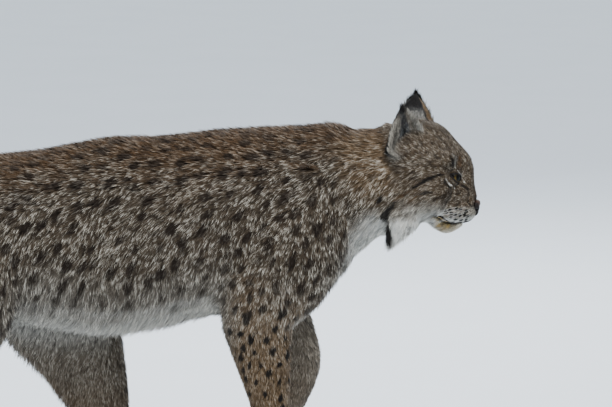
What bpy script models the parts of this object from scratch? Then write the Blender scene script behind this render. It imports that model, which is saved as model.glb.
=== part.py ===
"""Life-size Eurasian lynx, walking, with its left forepaw raised.

Lengths are in metres and +Z is up. The lynx walks towards +X, so its left side is at +Y.
Three paws stand on the plane z = 0. All outlines run to the tips of the winter coat.
Up to the last step x is counted forwards from the middle of the loins; the last step
moves the whole animal so that its box is centred on x = 0 and y = 0.
"""
import math

import bmesh
import bpy
from mathutils import Matrix, Vector

# Gaps between the pieces, and how finely each is worked
GAP = 0.0004
POCKET = 0.0007
VOXEL = 0.0036
RING = 28
STEPS = 4
BODY_TRIANGLES = 3000
HEAD_FINENESS = 2.9
EAR_TRIANGLES = 260
NOSE_TRIANGLES = 150
JAW_TRIANGLES = 220
RUFF_TRIANGLES = 130
EYE_SEGMENTS = 14
BODY_PASSES = 6
RUFF_VOXEL = 0.0020
RUFF_PASSES = 4
JAW_PASSES = 12
NOSE_VOXEL = 0.0010
NOSE_PASSES = 4
EAR_VOXEL = 0.0014
EAR_PASSES = 3
BALL_SEGMENTS = 20
TOE_SEGMENTS = 14

# How the head is held, seen from the neck's front end
HEAD_PIVOT = Vector((0.360, 0.0, 0.575))
HEAD_YAW = math.radians(-7.0)
HEAD_ROLL = math.radians(4.0)

# Trunk and neck sections, from the rump to the nape. Each row gives the x and z of the back
# line, the x and z of the belly line, the half width, and the share of the height at which
# the section is widest.
TRUNK = (
    (-0.402, 0.535, -0.400, 0.470, 0.030, 0.50),
    (-0.372, 0.574, -0.378, 0.415, 0.078, 0.50),
    (-0.320, 0.592, -0.325, 0.380, 0.100, 0.52),
    (-0.250, 0.600, -0.255, 0.356, 0.108, 0.52),
    (-0.160, 0.611, -0.165, 0.340, 0.104, 0.50),
    (-0.064, 0.629, -0.064, 0.326, 0.101, 0.46),
    (0.016, 0.631, 0.016, 0.336, 0.108, 0.46),
    (0.099, 0.640, 0.099, 0.354, 0.114, 0.47),
    (0.180, 0.645, 0.185, 0.352, 0.106, 0.48),
    (0.240, 0.647, 0.242, 0.361, 0.090, 0.50),
    (0.286, 0.649, 0.290, 0.412, 0.084, 0.52),
    (0.320, 0.638, 0.326, 0.455, 0.078, 0.52),
    (0.348, 0.642, 0.360, 0.479, 0.073, 0.50),
    (0.372, 0.653, 0.392, 0.478, 0.068, 0.46),
)

SKULL_FULLNESS = 2.35

# Head sections, from the nape over the crown and face to the tip of the muzzle. The lower
# points run along the throat and the line of the closed mouth.
HEAD = (
    (0.360, 0.640, 0.372, 0.500, 0.050, 0.45),
    (0.392, 0.655, 0.408, 0.494, 0.062, 0.42),
    (0.423, 0.657, 0.432, 0.502, 0.062, 0.44),
    (0.452, 0.648, 0.450, 0.505, 0.057, 0.50),
    (0.476, 0.628, 0.464, 0.505, 0.043, 0.50),
    (0.4940, 0.607, 0.476, 0.504, 0.027, 0.50),
    (0.5020, 0.585, 0.483, 0.504, 0.020, 0.48),
    (0.5035, 0.559, 0.489, 0.504, 0.0175, 0.45),
    (0.5070, 0.539, 0.495, 0.506, 0.016, 0.45),
    (0.5095, 0.526, 0.503, 0.511, 0.011, 0.50),
)

# Rounded masses of the head: centre, radii and pitch in degrees. Those off the middle plane
# stand on both sides. In order: skull, cheek, jowl, cheekbone, brow, face below the eye,
# whisker pad, corner of the mouth, throat.
HEAD_MASSES = (
    ((0.408, 0.0, 0.604), (0.056, 0.064, 0.052), 0),
    ((0.424, 0.042, 0.547), (0.042, 0.033, 0.036), 20),
    ((0.402, 0.048, 0.532), (0.034, 0.030, 0.038), 15),
    ((0.450, 0.040, 0.558), (0.026, 0.017, 0.017), 10),
    ((0.463, 0.030, 0.602), (0.022, 0.022, 0.017), 50),
    ((0.475, 0.020, 0.547), (0.019, 0.015, 0.022), 15),
    ((0.487, 0.0170, 0.5180), (0.0225, 0.0180, 0.0155), 12),
    ((0.469, 0.0235, 0.520), (0.024, 0.017, 0.0155), 5),
    ((0.440, 0.0, 0.515), (0.032, 0.034, 0.018), 0),
)

# Left eye and the hollow in front of it that the lids edge
EYE_CENTRE = Vector((0.4725, 0.0265, 0.5745))
EYE_RADIUS = 0.0125
EYE_GAZE = Vector((0.83, 0.55, 0.05))
SOCKET_RADII = (0.0080, 0.0120, 0.0095)

NOSE_MASSES = (
    ((0.5060, 0.0, 0.5275), (0.0080, 0.0135, 0.0065), -35),
    ((0.5045, 0.0080, 0.5215), (0.0085, 0.0070, 0.0070), 0),
    ((0.5035, 0.0, 0.5155), (0.0080, 0.0065, 0.0085), 0),
)

JAW = (
    (0.431, 0.514, 0.431, 0.501, 0.018, 0.50),
    (0.444, 0.511, 0.441, 0.490, 0.025, 0.50),
    (0.459, 0.506, 0.456, 0.4825, 0.024, 0.50),
    (0.474, 0.503, 0.471, 0.486, 0.019, 0.50),
    (0.487, 0.502, 0.484, 0.496, 0.010, 0.50),
)

# Cheek ruff: centre, half depth fore and aft, and half width of each section from the
# cheek down to the hanging tip
RUFF = (
    (0.412, 0.048, 0.556, 0.020, 0.012),
    (0.404, 0.062, 0.532, 0.026, 0.014),
    (0.395, 0.070, 0.510, 0.021, 0.012),
    (0.385, 0.073, 0.492, 0.012, 0.008),
    (0.378, 0.074, 0.478, 0.004, 0.003),
)

# Ear: its root, the way its tip points and the way its opening faces, on the left side. The
# right ear is turned a little forwards and set back.
EAR_ROOT = Vector((0.411, 0.037, 0.612))
EAR_LENGTH = 0.081
EAR_HALF_WIDTH = 0.0340
EAR_HALF_DEPTH = 0.0200
EAR_WALL = 0.0045
EAR_FOOT = 0.020
EAR_RINGS = 15
EAR_ENDS = (0.98, 0.995)
EAR_TIP_SHARE = 0.03
EAR_CURVE = (1.5, 0.85)
HOLLOW_FLOOR = 0.008
HOLLOW_TOP = 0.93
HOLLOW_SHIFT = 0.0144
EAR_AXIS = Vector((-0.060, 0.270, 0.970))
EAR_FACING = Vector((0.080, 1.000, -0.100))
RIGHT_EAR_SET_BACK = math.radians(9.0)
RIGHT_EAR_TURN = math.radians(28.0)

# Limb sections: centre, half depth fore and aft, and half width
FORELEG_STANDING = (
    (0.250, 0.050, 0.590, 0.046, 0.028),
    (0.236, 0.066, 0.510, 0.078, 0.044),
    (0.198, 0.074, 0.430, 0.082, 0.048),
    (0.168, 0.073, 0.362, 0.058, 0.042),
    (0.172, 0.071, 0.315, 0.049, 0.036),
    (0.180, 0.069, 0.268, 0.040, 0.033),
    (0.188, 0.067, 0.215, 0.030, 0.029),
    (0.194, 0.066, 0.165, 0.0275, 0.0275),
    (0.200, 0.066, 0.122, 0.0295, 0.0290),
    (0.209, 0.066, 0.080, 0.0290, 0.0320),
    (0.218, 0.066, 0.050, 0.0280, 0.0320),
)

FORELEG_RAISED = (
    (0.252, 0.050, 0.590, 0.046, 0.028),
    (0.246, 0.064, 0.510, 0.074, 0.044),
    (0.200, 0.070, 0.430, 0.082, 0.046),
    (0.180, 0.068, 0.372, 0.062, 0.041),
    (0.206, 0.065, 0.328, 0.046, 0.035),
    (0.229, 0.063, 0.292, 0.036, 0.031),
    (0.238, 0.061, 0.262, 0.031, 0.030),
    (0.228, 0.060, 0.228, 0.029, 0.030),
    (0.208, 0.059, 0.196, 0.028, 0.032),
)

HINDLEG_FORWARD = (
    (-0.290, 0.045, 0.530, 0.088, 0.045),
    (-0.232, 0.070, 0.460, 0.108, 0.052),
    (-0.165, 0.080, 0.380, 0.100, 0.048),
    (-0.128, 0.082, 0.310, 0.080, 0.042),
    (-0.102, 0.081, 0.250, 0.061, 0.036),
    (-0.085, 0.080, 0.200, 0.049, 0.031),
    (-0.079, 0.079, 0.160, 0.041, 0.029),
    (-0.067, 0.078, 0.122, 0.036, 0.029),
    (-0.040, 0.077, 0.086, 0.030, 0.030),
    (-0.012, 0.076, 0.055, 0.027, 0.032),
)

HINDLEG_BACK = (
    (-0.290, 0.045, 0.535, 0.085, 0.045),
    (-0.292, 0.072, 0.460, 0.105, 0.052),
    (-0.290, 0.081, 0.385, 0.090, 0.048),
    (-0.300, 0.083, 0.325, 0.070, 0.042),
    (-0.330, 0.082, 0.270, 0.052, 0.036),
    (-0.367, 0.081, 0.220, 0.041, 0.031),
    (-0.398, 0.080, 0.180, 0.038, 0.029),
    (-0.412, 0.079, 0.140, 0.034, 0.029),
    (-0.404, 0.078, 0.095, 0.029, 0.030),
    (-0.390, 0.077, 0.055, 0.027, 0.032),
)

TAIL = (
    (-0.372, 0.0, 0.555, 0.030, 0.030),
    (-0.410, 0.0, 0.530, 0.027, 0.027),
    (-0.432, 0.0, 0.485, 0.026, 0.026),
    (-0.442, 0.0, 0.435, 0.027, 0.027),
    (-0.446, 0.0, 0.390, 0.024, 0.024),
    (-0.446, 0.0, 0.368, 0.010, 0.010),
)

# Paws: the ankle end of the paw on the ground, its heading in degrees towards +Y, and size
# against the right forepaw. The raised paw hangs from the wrist with its toes down and back.
PAW_LENGTH = 0.052
PAW_HALF_WIDTH = 0.037
PAW_HALF_HEIGHT = 0.030
TOE_RADII = (0.025, 0.0140, 0.0185)
TOE_COUNT = 4
TOE_SPREAD = 0.0215
TOE_FAN = math.radians(5.0)
TOE_REACH = 0.042
TOE_SET_BACK = 0.015
SOLE_PRESS = 0.004
RIGHT_FOREPAW = ((0.226, -0.066, 0.0), -4.0, 0.0, 1.0)
LEFT_FOREPAW = ((0.164, 0.059, 0.170), 0.0, 116.0, 0.97)
RIGHT_HINDPAW = ((-0.372, -0.077, 0.0), -4.0, 0.0, 0.95)
LEFT_HINDPAW = ((0.012, 0.076, 0.0), 4.0, 0.0, 0.95)

# Level cuts of the legs, each a block's centre and size, from the paws up
LEG_BLOCKS = (
    ("forepaw_right", (0.230, -0.070, 0.028), (0.200, 0.130, 0.080)),
    ("forearm_right", (0.185, -0.070, 0.200), (0.200, 0.130, 0.264)),
    ("forepaw_left", (0.180, 0.070, 0.140), (0.200, 0.130, 0.164)),
    ("hindpaw_left", (0.010, 0.070, 0.028), (0.200, 0.130, 0.080)),
    ("hindfoot_left", (-0.040, 0.070, 0.100), (0.200, 0.130, 0.072)),
    ("shank_left", (-0.100, 0.075, 0.200), (0.220, 0.140, 0.136)),
    ("hindpaw_right", (-0.380, -0.070, 0.028), (0.200, 0.130, 0.080)),
    ("hindfoot_right", (-0.400, -0.070, 0.110), (0.200, 0.130, 0.092)),
    ("shank_right", (-0.370, -0.075, 0.215), (0.200, 0.140, 0.126)),
)

# Slanting cuts under the shoulders and hips: a point on the inner face, the block's size and
# how far the face leans outwards in degrees
HAUNCH_BLOCKS = (
    ("upper_arm_right", (0.186, -0.072, 0.450), (0.200, 0.140, 0.300), 26.0),
    ("foreleg_left", (0.186, 0.072, 0.430), (0.200, 0.140, 0.440), 26.0),
    ("thigh_left", (-0.200, 0.060, 0.425), (0.340, 0.140, 0.310), 24.0),
    ("thigh_right", (-0.310, -0.060, 0.425), (0.220, 0.140, 0.310), 24.0),
)

# Cuts across the trunk: a point on the block's rear face, its size and how far it leans back
HEAD_BLOCK = ((0.383, 0.0, 0.570), (0.240, 0.300, 0.350), 14.6)
TRUNK_BLOCKS = (
    ("neck", (0.300, 0.0, 0.545), (0.200, 0.300, 0.320), 9.8),
    ("tail", (-0.505, 0.0, 0.450), (0.100, 0.100, 0.250), 0.0),
    ("rump", (-0.560, 0.0, 0.480), (0.400, 0.400, 0.400), 0.0),
    ("loins", (-0.170, 0.0, 0.480), (0.225, 0.400, 0.400), 0.0),
)

# Finishes: colour and roughness
FINISHES = {
    "coat": ((0.24, 0.20, 0.16), 0.9),
    "eye": ((0.10, 0.07, 0.03), 0.1),
    "nose": ((0.20, 0.11, 0.09), 0.5),
}


def settle(shape):
    # Turns an object's modifiers into its own mesh
    depsgraph = bpy.context.evaluated_depsgraph_get()
    depsgraph.update()
    mesh = bpy.data.meshes.new_from_object(shape.evaluated_get(depsgraph))
    shape.modifiers.clear()
    shape.data = mesh
    return shape


def new_object(name, mesh_bm):
    bmesh.ops.recalc_face_normals(mesh_bm, faces=mesh_bm.faces)
    mesh = bpy.data.meshes.new(name)
    mesh_bm.to_mesh(mesh)
    mesh_bm.free()
    shape = bpy.data.objects.new(name, mesh)
    bpy.context.collection.objects.link(shape)
    return shape


def between(rows, steps):
    # Fills in rows along smooth curves through the given ones
    filled = []
    last = len(rows) - 1
    for i in range(last):
        a = rows[max(i - 1, 0)]
        b = rows[i]
        c = rows[i + 1]
        d = rows[min(i + 2, last)]
        for k in range(steps):
            t = k / steps
            filled.append(tuple(
                0.5 * (2 * q + (r - p) * t + (2 * p - 5 * q + 4 * r - s) * t * t
                       + (3 * q - p - 3 * r + s) * t ** 3)
                for p, q, r, s in zip(a, b, c, d)
            ))
    filled.append(rows[last])
    return filled


def ring(centre, across, up, half_width, half_up, half_down, fullness=2.0):
    # An oval whose upper and lower halves differ; a fullness above 2 squares its shoulders
    points = []
    for i in range(RING):
        turn = 2 * math.pi * i / RING
        reach = half_up if math.sin(turn) > 0 else half_down
        side, rise = (math.copysign(abs(share) ** (2 / fullness), share)
                      for share in (math.cos(turn), math.sin(turn)))
        points.append(centre + across * (half_width * side) + up * (reach * rise))
    return points


def tube(name, rings):
    work = bmesh.new()
    loops = [[work.verts.new(point) for point in points] for points in rings]
    for near, far in zip(loops, loops[1:]):
        for i in range(RING):
            j = (i + 1) % RING
            work.faces.new((near[i], near[j], far[j], far[i]))
    work.faces.new(loops[0])
    work.faces.new(loops[-1])
    return new_object(name, work)


def ladder(name, rows, fullness=2.0):
    # A body through sections given by their upper and lower points in the middle plane
    rings = []
    for top_x, top_z, low_x, low_z, half_width, widest in between(rows, STEPS):
        low = Vector((low_x, 0, low_z))
        rise = Vector((top_x, 0, top_z)) - low
        height = rise.length
        centre = low + rise * widest
        up = rise.normalized()
        rings.append(ring(centre, Vector((0, 1, 0)), up, half_width,
                          height * (1 - widest), height * widest, fullness))
    return tube(name, rings)


def limb(name, rows, side):
    # A limb through sections that stand across its path
    filled = between(rows, STEPS)
    places = [Vector((row[0], row[1] * side, row[2])) for row in filled]
    rings = []
    for i, row in enumerate(filled):
        along = places[min(i + 1, len(places) - 1)] - places[max(i - 1, 0)]
        along.normalize()
        across = Vector((0, 1, 0))
        across = (across - along * across.dot(along)).normalized()
        depth = along.cross(across)
        rings.append(ring(places[i], across, depth, row[4], row[3], row[3]))
    return tube(name, rings)


def ball(name, matrix, radii, segments=BALL_SEGMENTS):
    work = bmesh.new()
    shape = matrix @ Matrix.Diagonal((*radii, 1))
    bmesh.ops.create_uvsphere(work, u_segments=segments, v_segments=segments * 2 // 3,
                              radius=1, matrix=shape)
    return new_object(name, work)


def masses(name, rows):
    # Balls on the middle plane, and pairs of balls beside it
    balls = []
    for (x, y, z), radii, pitch in rows:
        for side in (1, -1) if y else (1,):
            place = Matrix.Translation((x, y * side, z))
            turn = Matrix.Rotation(math.radians(pitch), 4, 'Y')
            balls.append(ball(name, place @ turn, radii))
    return balls


def paw(name, place, heading, pitch, size):
    # The sole lies on the paw's own plane z = 0 and the toes point along its own +X
    frame = (Matrix.Translation(place) @ Matrix.Rotation(math.radians(heading), 4, 'Z')
             @ Matrix.Rotation(math.radians(pitch), 4, 'Y') @ Matrix.Scale(size, 4))
    lift = PAW_HALF_HEIGHT - SOLE_PRESS
    pieces = [ball(name, frame @ Matrix.Translation((0, 0, lift)),
                   (PAW_LENGTH, PAW_HALF_WIDTH, PAW_HALF_HEIGHT))]
    for i in range(TOE_COUNT):
        row = i - (TOE_COUNT - 1) / 2
        reach = TOE_REACH - TOE_SET_BACK * (abs(row) > 1)
        toe = Matrix.Translation((reach, row * TOE_SPREAD, TOE_RADII[2] - SOLE_PRESS))
        fan = Matrix.Rotation(row * TOE_FAN, 4, 'Z')
        pieces.append(ball(name, frame @ toe @ fan, TOE_RADII, TOE_SEGMENTS))
    return pieces


def join(name, shapes):
    work = bmesh.new()
    for shape in shapes:
        work.from_mesh(shape.data)
        bpy.data.objects.remove(shape)
    return new_object(name, work)


def turn_head(shapes):
    # Yaw and roll of the head about the front of the neck
    turn = (Matrix.Translation(HEAD_PIVOT) @ Matrix.Rotation(HEAD_YAW, 4, 'Z')
            @ Matrix.Rotation(HEAD_ROLL, 4, 'X') @ Matrix.Translation(-HEAD_PIVOT))
    for shape in shapes:
        shape.data.transform(turn)
    return shapes


def remesh(shape, voxel, passes):
    fuse = shape.modifiers.new("fuse", 'REMESH')
    fuse.mode = 'VOXEL'
    fuse.voxel_size = voxel
    even = shape.modifiers.new("even", 'SMOOTH')
    even.factor = 0.5
    even.iterations = passes
    return settle(shape)


def thin_out(shape, triangles):
    count = sum(len(face.vertices) - 2 for face in shape.data.polygons)
    fewer = shape.modifiers.new("fewer", 'DECIMATE')
    fewer.ratio = triangles / count
    return settle(shape)


def grown(shape, by=GAP):
    # A copy whose surface stands the given distance outside the shape's own
    copy = bpy.data.objects.new(shape.name + "_grown", shape.data.copy())
    bpy.context.collection.objects.link(copy)
    swell = copy.modifiers.new("swell", 'DISPLACE')
    swell.mid_level = 0
    swell.strength = by
    return settle(copy)


def cut(shape, tool, operation='DIFFERENCE'):
    blade = shape.modifiers.new("cut", 'BOOLEAN')
    blade.operation = operation
    blade.solver = 'EXACT'
    blade.object = tool
    settle(shape)
    bpy.data.objects.remove(tool)
    return shape


def keep_largest(shape):
    # Drops the slivers that a cut leaves beside the main body
    work = bmesh.new()
    work.from_mesh(shape.data)
    left = set(work.verts)
    bodies = []
    while left:
        found = {left.pop()}
        edge = list(found)
        while edge:
            near = {link.other_vert(vertex) for vertex in edge for link in vertex.link_edges}
            edge = list(near - found)
            found |= near
        left -= found
        bodies.append(found)
    bodies.sort(key=len)
    for body in bodies[:-1]:
        bmesh.ops.delete(work, geom=list(body), context='VERTS')
    work.to_mesh(shape.data)
    work.free()


def block(centre, size, turn, grow=0.0):
    work = bmesh.new()
    lengths = [length + 2 * grow for length in size]
    place = Matrix.Translation(centre) @ turn @ Matrix.Diagonal((*lengths, 1))
    bmesh.ops.create_cube(work, size=1, matrix=place)
    return new_object("block", work)


def part_off(body, name, centre, size, turn=Matrix.Identity(4)):
    # Takes the part of the body inside a block as an object of its own
    piece = bpy.data.objects.new(name, body.data.copy())
    bpy.context.collection.objects.link(piece)
    cut(piece, block(centre, size, turn), 'INTERSECT')
    cut(body, block(centre, size, turn, GAP))
    return piece


def lay_flat(shape):
    # Cuts the soles off level with the ground
    work = bmesh.new()
    work.from_mesh(shape.data)
    found = bmesh.ops.bisect_plane(work, geom=work.verts[:] + work.edges[:] + work.faces[:],
                                   plane_co=(0, 0, 0), plane_no=(0, 0, -1), clear_outer=True)
    rim = [item for item in found['geom_cut'] if isinstance(item, bmesh.types.BMEdge)]
    bmesh.ops.holes_fill(work, edges=rim)
    bmesh.ops.triangulate(work, faces=work.faces[:])
    work.to_mesh(shape.data)
    work.free()


def whole_body():
    parts = [
        ladder("trunk", TRUNK),
        limb("foreleg", FORELEG_STANDING, -1),
        limb("foreleg", FORELEG_RAISED, 1),
        limb("hindleg", HINDLEG_FORWARD, 1),
        limb("hindleg", HINDLEG_BACK, -1),
        limb("tail", TAIL, 1),
    ]
    for place, heading, pitch, size in (RIGHT_FOREPAW, LEFT_FOREPAW, RIGHT_HINDPAW, LEFT_HINDPAW):
        parts += paw("paw", place, heading, pitch, size)
    parts += turn_head([ladder("skull", HEAD, SKULL_FULLNESS)] + masses("mass", HEAD_MASSES))
    return remesh(join("body", parts), VOXEL, BODY_PASSES)


def ear_share(level):
    # Width of the ear at a height against its width at the root
    if level < 0:
        return math.sqrt(1 - (level / EAR_FOOT) ** 2)
    return (1 - (level / EAR_LENGTH) ** EAR_CURVE[0]) ** EAR_CURVE[1]


def ear_cone(width, depth, low, high, shift):
    rings = []
    for i in range(EAR_RINGS):
        t = i / (EAR_RINGS - 1)
        level = low + (high - low) * t
        share = max(ear_share(level), EAR_TIP_SHARE)
        centre = Vector((shift * (1 - 0.5 * t), 0, level))
        rings.append(ring(centre, Vector((0, 1, 0)), Vector((1, 0, 0)), width * share,
                          depth * share, depth * share))
    return tube("ear", rings)


def ear(name, side):
    # A cup: a pointed cone of leaf-shaped sections, hollowed from the side it faces
    shell = ear_cone(EAR_HALF_WIDTH, EAR_HALF_DEPTH, -EAR_FOOT * EAR_ENDS[0],
                     EAR_LENGTH * EAR_ENDS[1], 0.0)
    shell.name = name
    hollow = ear_cone(EAR_HALF_WIDTH - EAR_WALL, EAR_HALF_DEPTH, HOLLOW_FLOOR,
                      EAR_LENGTH * HOLLOW_TOP, HOLLOW_SHIFT)
    cut(shell, hollow)
    axis = EAR_AXIS.normalized()
    facing = (EAR_FACING - axis * EAR_FACING.dot(axis)).normalized()
    frame = Matrix((facing, axis.cross(facing), axis)).transposed().to_4x4()
    if side < 0:
        frame = frame @ Matrix.Rotation(-RIGHT_EAR_TURN, 4, 'Z')
    shell.data.transform(Matrix.Translation(EAR_ROOT) @ frame)
    if side < 0:
        shell.data.transform(Matrix.Scale(-1, 4, (0, 1, 0)))
        shell.data.flip_normals()
        root = Matrix.Translation((EAR_ROOT.x, -EAR_ROOT.y, EAR_ROOT.z))
        back = Matrix.Rotation(-RIGHT_EAR_SET_BACK, 4, 'Y')
        shell.data.transform(root @ back @ root.inverted())
    remesh(shell, EAR_VOXEL, EAR_PASSES)
    return thin_out(shell, EAR_TRIANGLES)


def soft_piece(name, shapes, voxel, passes, triangles):
    piece = remesh(join(name, shapes), voxel, passes)
    piece.name = name
    return thin_out(piece, triangles)


def material(name, colour, roughness):
    finish = bpy.data.materials.new(name)
    finish.use_nodes = True
    shader = finish.node_tree.nodes["Principled BSDF"]
    shader.inputs["Base Color"].default_value = (*colour, 1)
    shader.inputs["Roughness"].default_value = roughness
    shader.inputs["Metallic"].default_value = 0
    return finish


def part_legs(body):
    # Level cuts between the joints of each leg, from the ground up
    pieces = []
    for name, centre, size in LEG_BLOCKS:
        pieces.append(part_off(body, name, centre, size))
    for name, (x, y, z), (length, depth, height), lean in HAUNCH_BLOCKS:
        side = math.copysign(1, y)
        turn = Matrix.Rotation(math.radians(-lean * side), 4, 'X')
        centre = Vector((x, y, z)) + turn @ Vector((0, side * depth / 2, 0))
        pieces.append(part_off(body, name, centre, (length, depth, height), turn))
    return pieces


def part_across(body, name, face, size, lean):
    turn = Matrix.Rotation(math.radians(-lean), 4, 'Y')
    centre = Vector(face) + turn @ Vector((size[0] / 2, 0, 0))
    return part_off(body, name, centre, size, turn)


def part_body():
    # The head comes from a finer copy of the same surface than the rest
    body = whole_body()
    fine = bpy.data.objects.new("fine", body.data.copy())
    bpy.context.collection.objects.link(fine)
    thin_out(fine, BODY_TRIANGLES * HEAD_FINENESS)
    thin_out(body, BODY_TRIANGLES)
    lay_flat(body)
    head = part_across(fine, "head", *HEAD_BLOCK)
    bpy.data.objects.remove(fine)
    bpy.data.objects.remove(part_across(body, "coarse_head", *HEAD_BLOCK))
    pieces = [head] + part_legs(body)
    for name, *block_values in TRUNK_BLOCKS:
        pieces.append(part_across(body, name, *block_values))
    body.name = "chest"
    return pieces + [body]


def eye(name, side):
    centre = Vector((EYE_CENTRE.x, EYE_CENTRE.y * side, EYE_CENTRE.z))
    return ball(name, Matrix.Translation(centre), (EYE_RADIUS,) * 3, EYE_SEGMENTS)


def socket(side):
    gaze = Vector((EYE_GAZE.x, EYE_GAZE.y * side, EYE_GAZE.z)).normalized()
    centre = Vector((EYE_CENTRE.x, EYE_CENTRE.y * side, EYE_CENTRE.z)) + gaze * EYE_RADIUS
    turn = gaze.to_track_quat('X', 'Z').to_matrix().to_4x4()
    return ball("socket", Matrix.Translation(centre) @ turn, SOCKET_RADII)


def face_pieces():
    pieces = []
    for name, side in (("left", 1), ("right", -1)):
        pieces.append(eye("eye_" + name, side))
        pieces.append(ear("ear_" + name, side))
        pieces.append(soft_piece("ruff_" + name, [limb("ruff", RUFF, side)],
                                 RUFF_VOXEL, RUFF_PASSES, RUFF_TRIANGLES))
    pieces.append(soft_piece("nose", masses("nose", NOSE_MASSES),
                             NOSE_VOXEL, NOSE_PASSES, NOSE_TRIANGLES))
    pieces.append(soft_piece("lower_jaw", [ladder("jaw", JAW)],
                             RUFF_VOXEL, JAW_PASSES, JAW_TRIANGLES))
    return {piece.name: piece for piece in turn_head(pieces)}


def centre_on_floor(pieces):
    corners = [vertex.co for piece in pieces for vertex in piece.data.vertices]
    middle_x = (min(c.x for c in corners) + max(c.x for c in corners)) / 2
    middle_y = (min(c.y for c in corners) + max(c.y for c in corners)) / 2
    for piece in pieces:
        piece.data.transform(Matrix.Translation((-middle_x, -middle_y, 0)))


def main():
    for old in list(bpy.data.objects):
        bpy.data.objects.remove(old)

    pieces = part_body()
    by_name = {piece.name: piece for piece in pieces}
    head, neck = by_name["head"], by_name["neck"]

    for side in (1, -1):
        cut(head, turn_head([socket(side)])[0])
    face = face_pieces()
    for name in ("nose", "lower_jaw", "eye_left", "eye_right"):
        cut(head, grown(face[name], POCKET))
    for name in ("ear_left", "ear_right", "ruff_left", "ruff_right"):
        cut(face[name], grown(head))
        cut(face[name], grown(neck))
        keep_largest(face[name])
    pieces += face.values()

    centre_on_floor(pieces)
    finishes = {name: material(name, *look) for name, look in FINISHES.items()}
    for piece in pieces:
        kind = "eye" if piece.name.startswith("eye") else "nose" if piece.name == "nose" else "coat"
        piece.data.materials.clear()
        piece.data.materials.append(finishes[kind])


main()
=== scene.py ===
import math

import bpy
import numpy as np
from mathutils import Matrix, Vector
from mathutils.bvhtree import BVHTree
from mathutils.kdtree import KDTree


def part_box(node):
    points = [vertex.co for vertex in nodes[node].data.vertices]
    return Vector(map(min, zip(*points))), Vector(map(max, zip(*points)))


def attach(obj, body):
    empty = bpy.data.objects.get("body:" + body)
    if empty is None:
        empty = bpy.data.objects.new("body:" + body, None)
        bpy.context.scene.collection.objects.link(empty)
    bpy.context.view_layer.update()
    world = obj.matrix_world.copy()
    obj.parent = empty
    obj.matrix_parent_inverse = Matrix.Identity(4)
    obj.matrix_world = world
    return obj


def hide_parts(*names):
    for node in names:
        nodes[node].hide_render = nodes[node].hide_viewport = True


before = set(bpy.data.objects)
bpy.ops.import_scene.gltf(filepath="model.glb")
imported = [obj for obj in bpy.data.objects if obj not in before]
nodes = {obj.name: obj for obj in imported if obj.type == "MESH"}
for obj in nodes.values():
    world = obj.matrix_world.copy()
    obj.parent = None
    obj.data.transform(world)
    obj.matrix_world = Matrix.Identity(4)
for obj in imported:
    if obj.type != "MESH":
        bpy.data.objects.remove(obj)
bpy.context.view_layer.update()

# Each flesh node belongs to a region of the coat
regionOf = {
    "head": "head", "lower_jaw": "head", "ear_left": "earLeft", "ear_right": "earRight",
    "ruff_left": "ruff", "ruff_right": "ruff", "neck": "neck",
    "chest": "trunk", "loins": "trunk", "rump": "trunk", "tail": "tail",
    "upper_arm_right": "shoulder", "foreleg_left": "shoulder",
    "thigh_left": "thigh", "thigh_right": "thigh",
    "forearm_right": "leg", "shank_left": "leg", "shank_right": "leg",
    "hindfoot_left": "leg", "hindfoot_right": "leg",
    "forepaw_left": "raisedPaw", "forepaw_right": "paw", "hindpaw_left": "paw", "hindpaw_right": "paw",
}
regions = ["head", "earLeft", "earRight", "ruff", "neck", "trunk", "tail", "shoulder", "thigh",
           "leg", "paw", "raisedPaw"]
regionIndex = {name: i for i, name in enumerate(regions)}

# How the head is turned, and its own place and axes: x forwards, y to its left, z up
headPlan = {"yaw": -7.0, "roll": 4.0}


def middleOf(name):
    low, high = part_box(name)
    return (low + high) / 2


headTurn = (Matrix.Rotation(math.radians(headPlan["yaw"]), 3, 'Z')
            @ Matrix.Rotation(math.radians(headPlan["roll"]), 3, 'X'))
headAxes = np.array(headTurn)
headPlace = np.array((middleOf("eye_left") + middleOf("eye_right")) / 2)


def toFace(points):
    return (points - headPlace) @ headAxes


def fromFace(points):
    return np.asarray(points) @ headAxes.T + headPlace


def turnFromFace(directions):
    return np.asarray(directions) @ headAxes.T


# Small tools for arrays. The scatter's shift keeps the number of every cell above zero
scatterPlan = {
    "shift": 4096, "factors": (73856093, 19349663, 83492791),
    "seedFactor": 2654435761, "mixer": 0x45D9F3B,
}


def smoothStep(low, high, value):
    t = np.clip((value - low) / (high - low), 0, 1)
    return t * t * (3 - 2 * t)


def unit(vectors):
    return vectors / np.maximum(np.linalg.norm(vectors, axis=-1, keepdims=True), 1e-9)


def flatTo(vectors, normals):
    return vectors - normals * (vectors * normals).sum(-1, keepdims=True)


def mixed(a, b, share):
    return a + (b - a) * share


def nearness(points, middle, reach):
    # 1 at a place, falling to 0 beyond its reach along each axis
    return np.exp(-np.linalg.norm((points - np.array(middle)) / reach, axis=1) ** 2)


def scatter(cells, seed):
    # A steady pseudo-random number from 0 to 1 for each whole-numbered cell
    most, half = np.uint64(0xFFFFFFFF), np.uint64(16)
    cells = (cells + scatterPlan["shift"]).astype(np.uint64)
    x = np.uint64(seed * scatterPlan["seedFactor"] & 0xFFFFFFFF)
    for axis, factor in enumerate(scatterPlan["factors"]):
        x = x ^ cells[:, axis] * np.uint64(factor)
    x &= most
    for _ in range(2):
        x = ((x ^ (x >> half)) * np.uint64(scatterPlan["mixer"])) & most
    x ^= x >> half
    return x.astype(np.float64) / 0xFFFFFFFF


def cloud(points, size, seed):
    # Soft noise from -1 to 1 with features about as large as size
    places = points / size
    low = np.floor(places).astype(np.int64)
    part = places - low
    part = part * part * (3 - 2 * part)
    total = 0
    for corner in np.ndindex(2, 2, 2):
        share = np.prod(np.where(corner, part, 1 - part), axis=1)
        total = total + share * scatter(low + np.array(corner), seed)
    return total * 2 - 1


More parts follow.
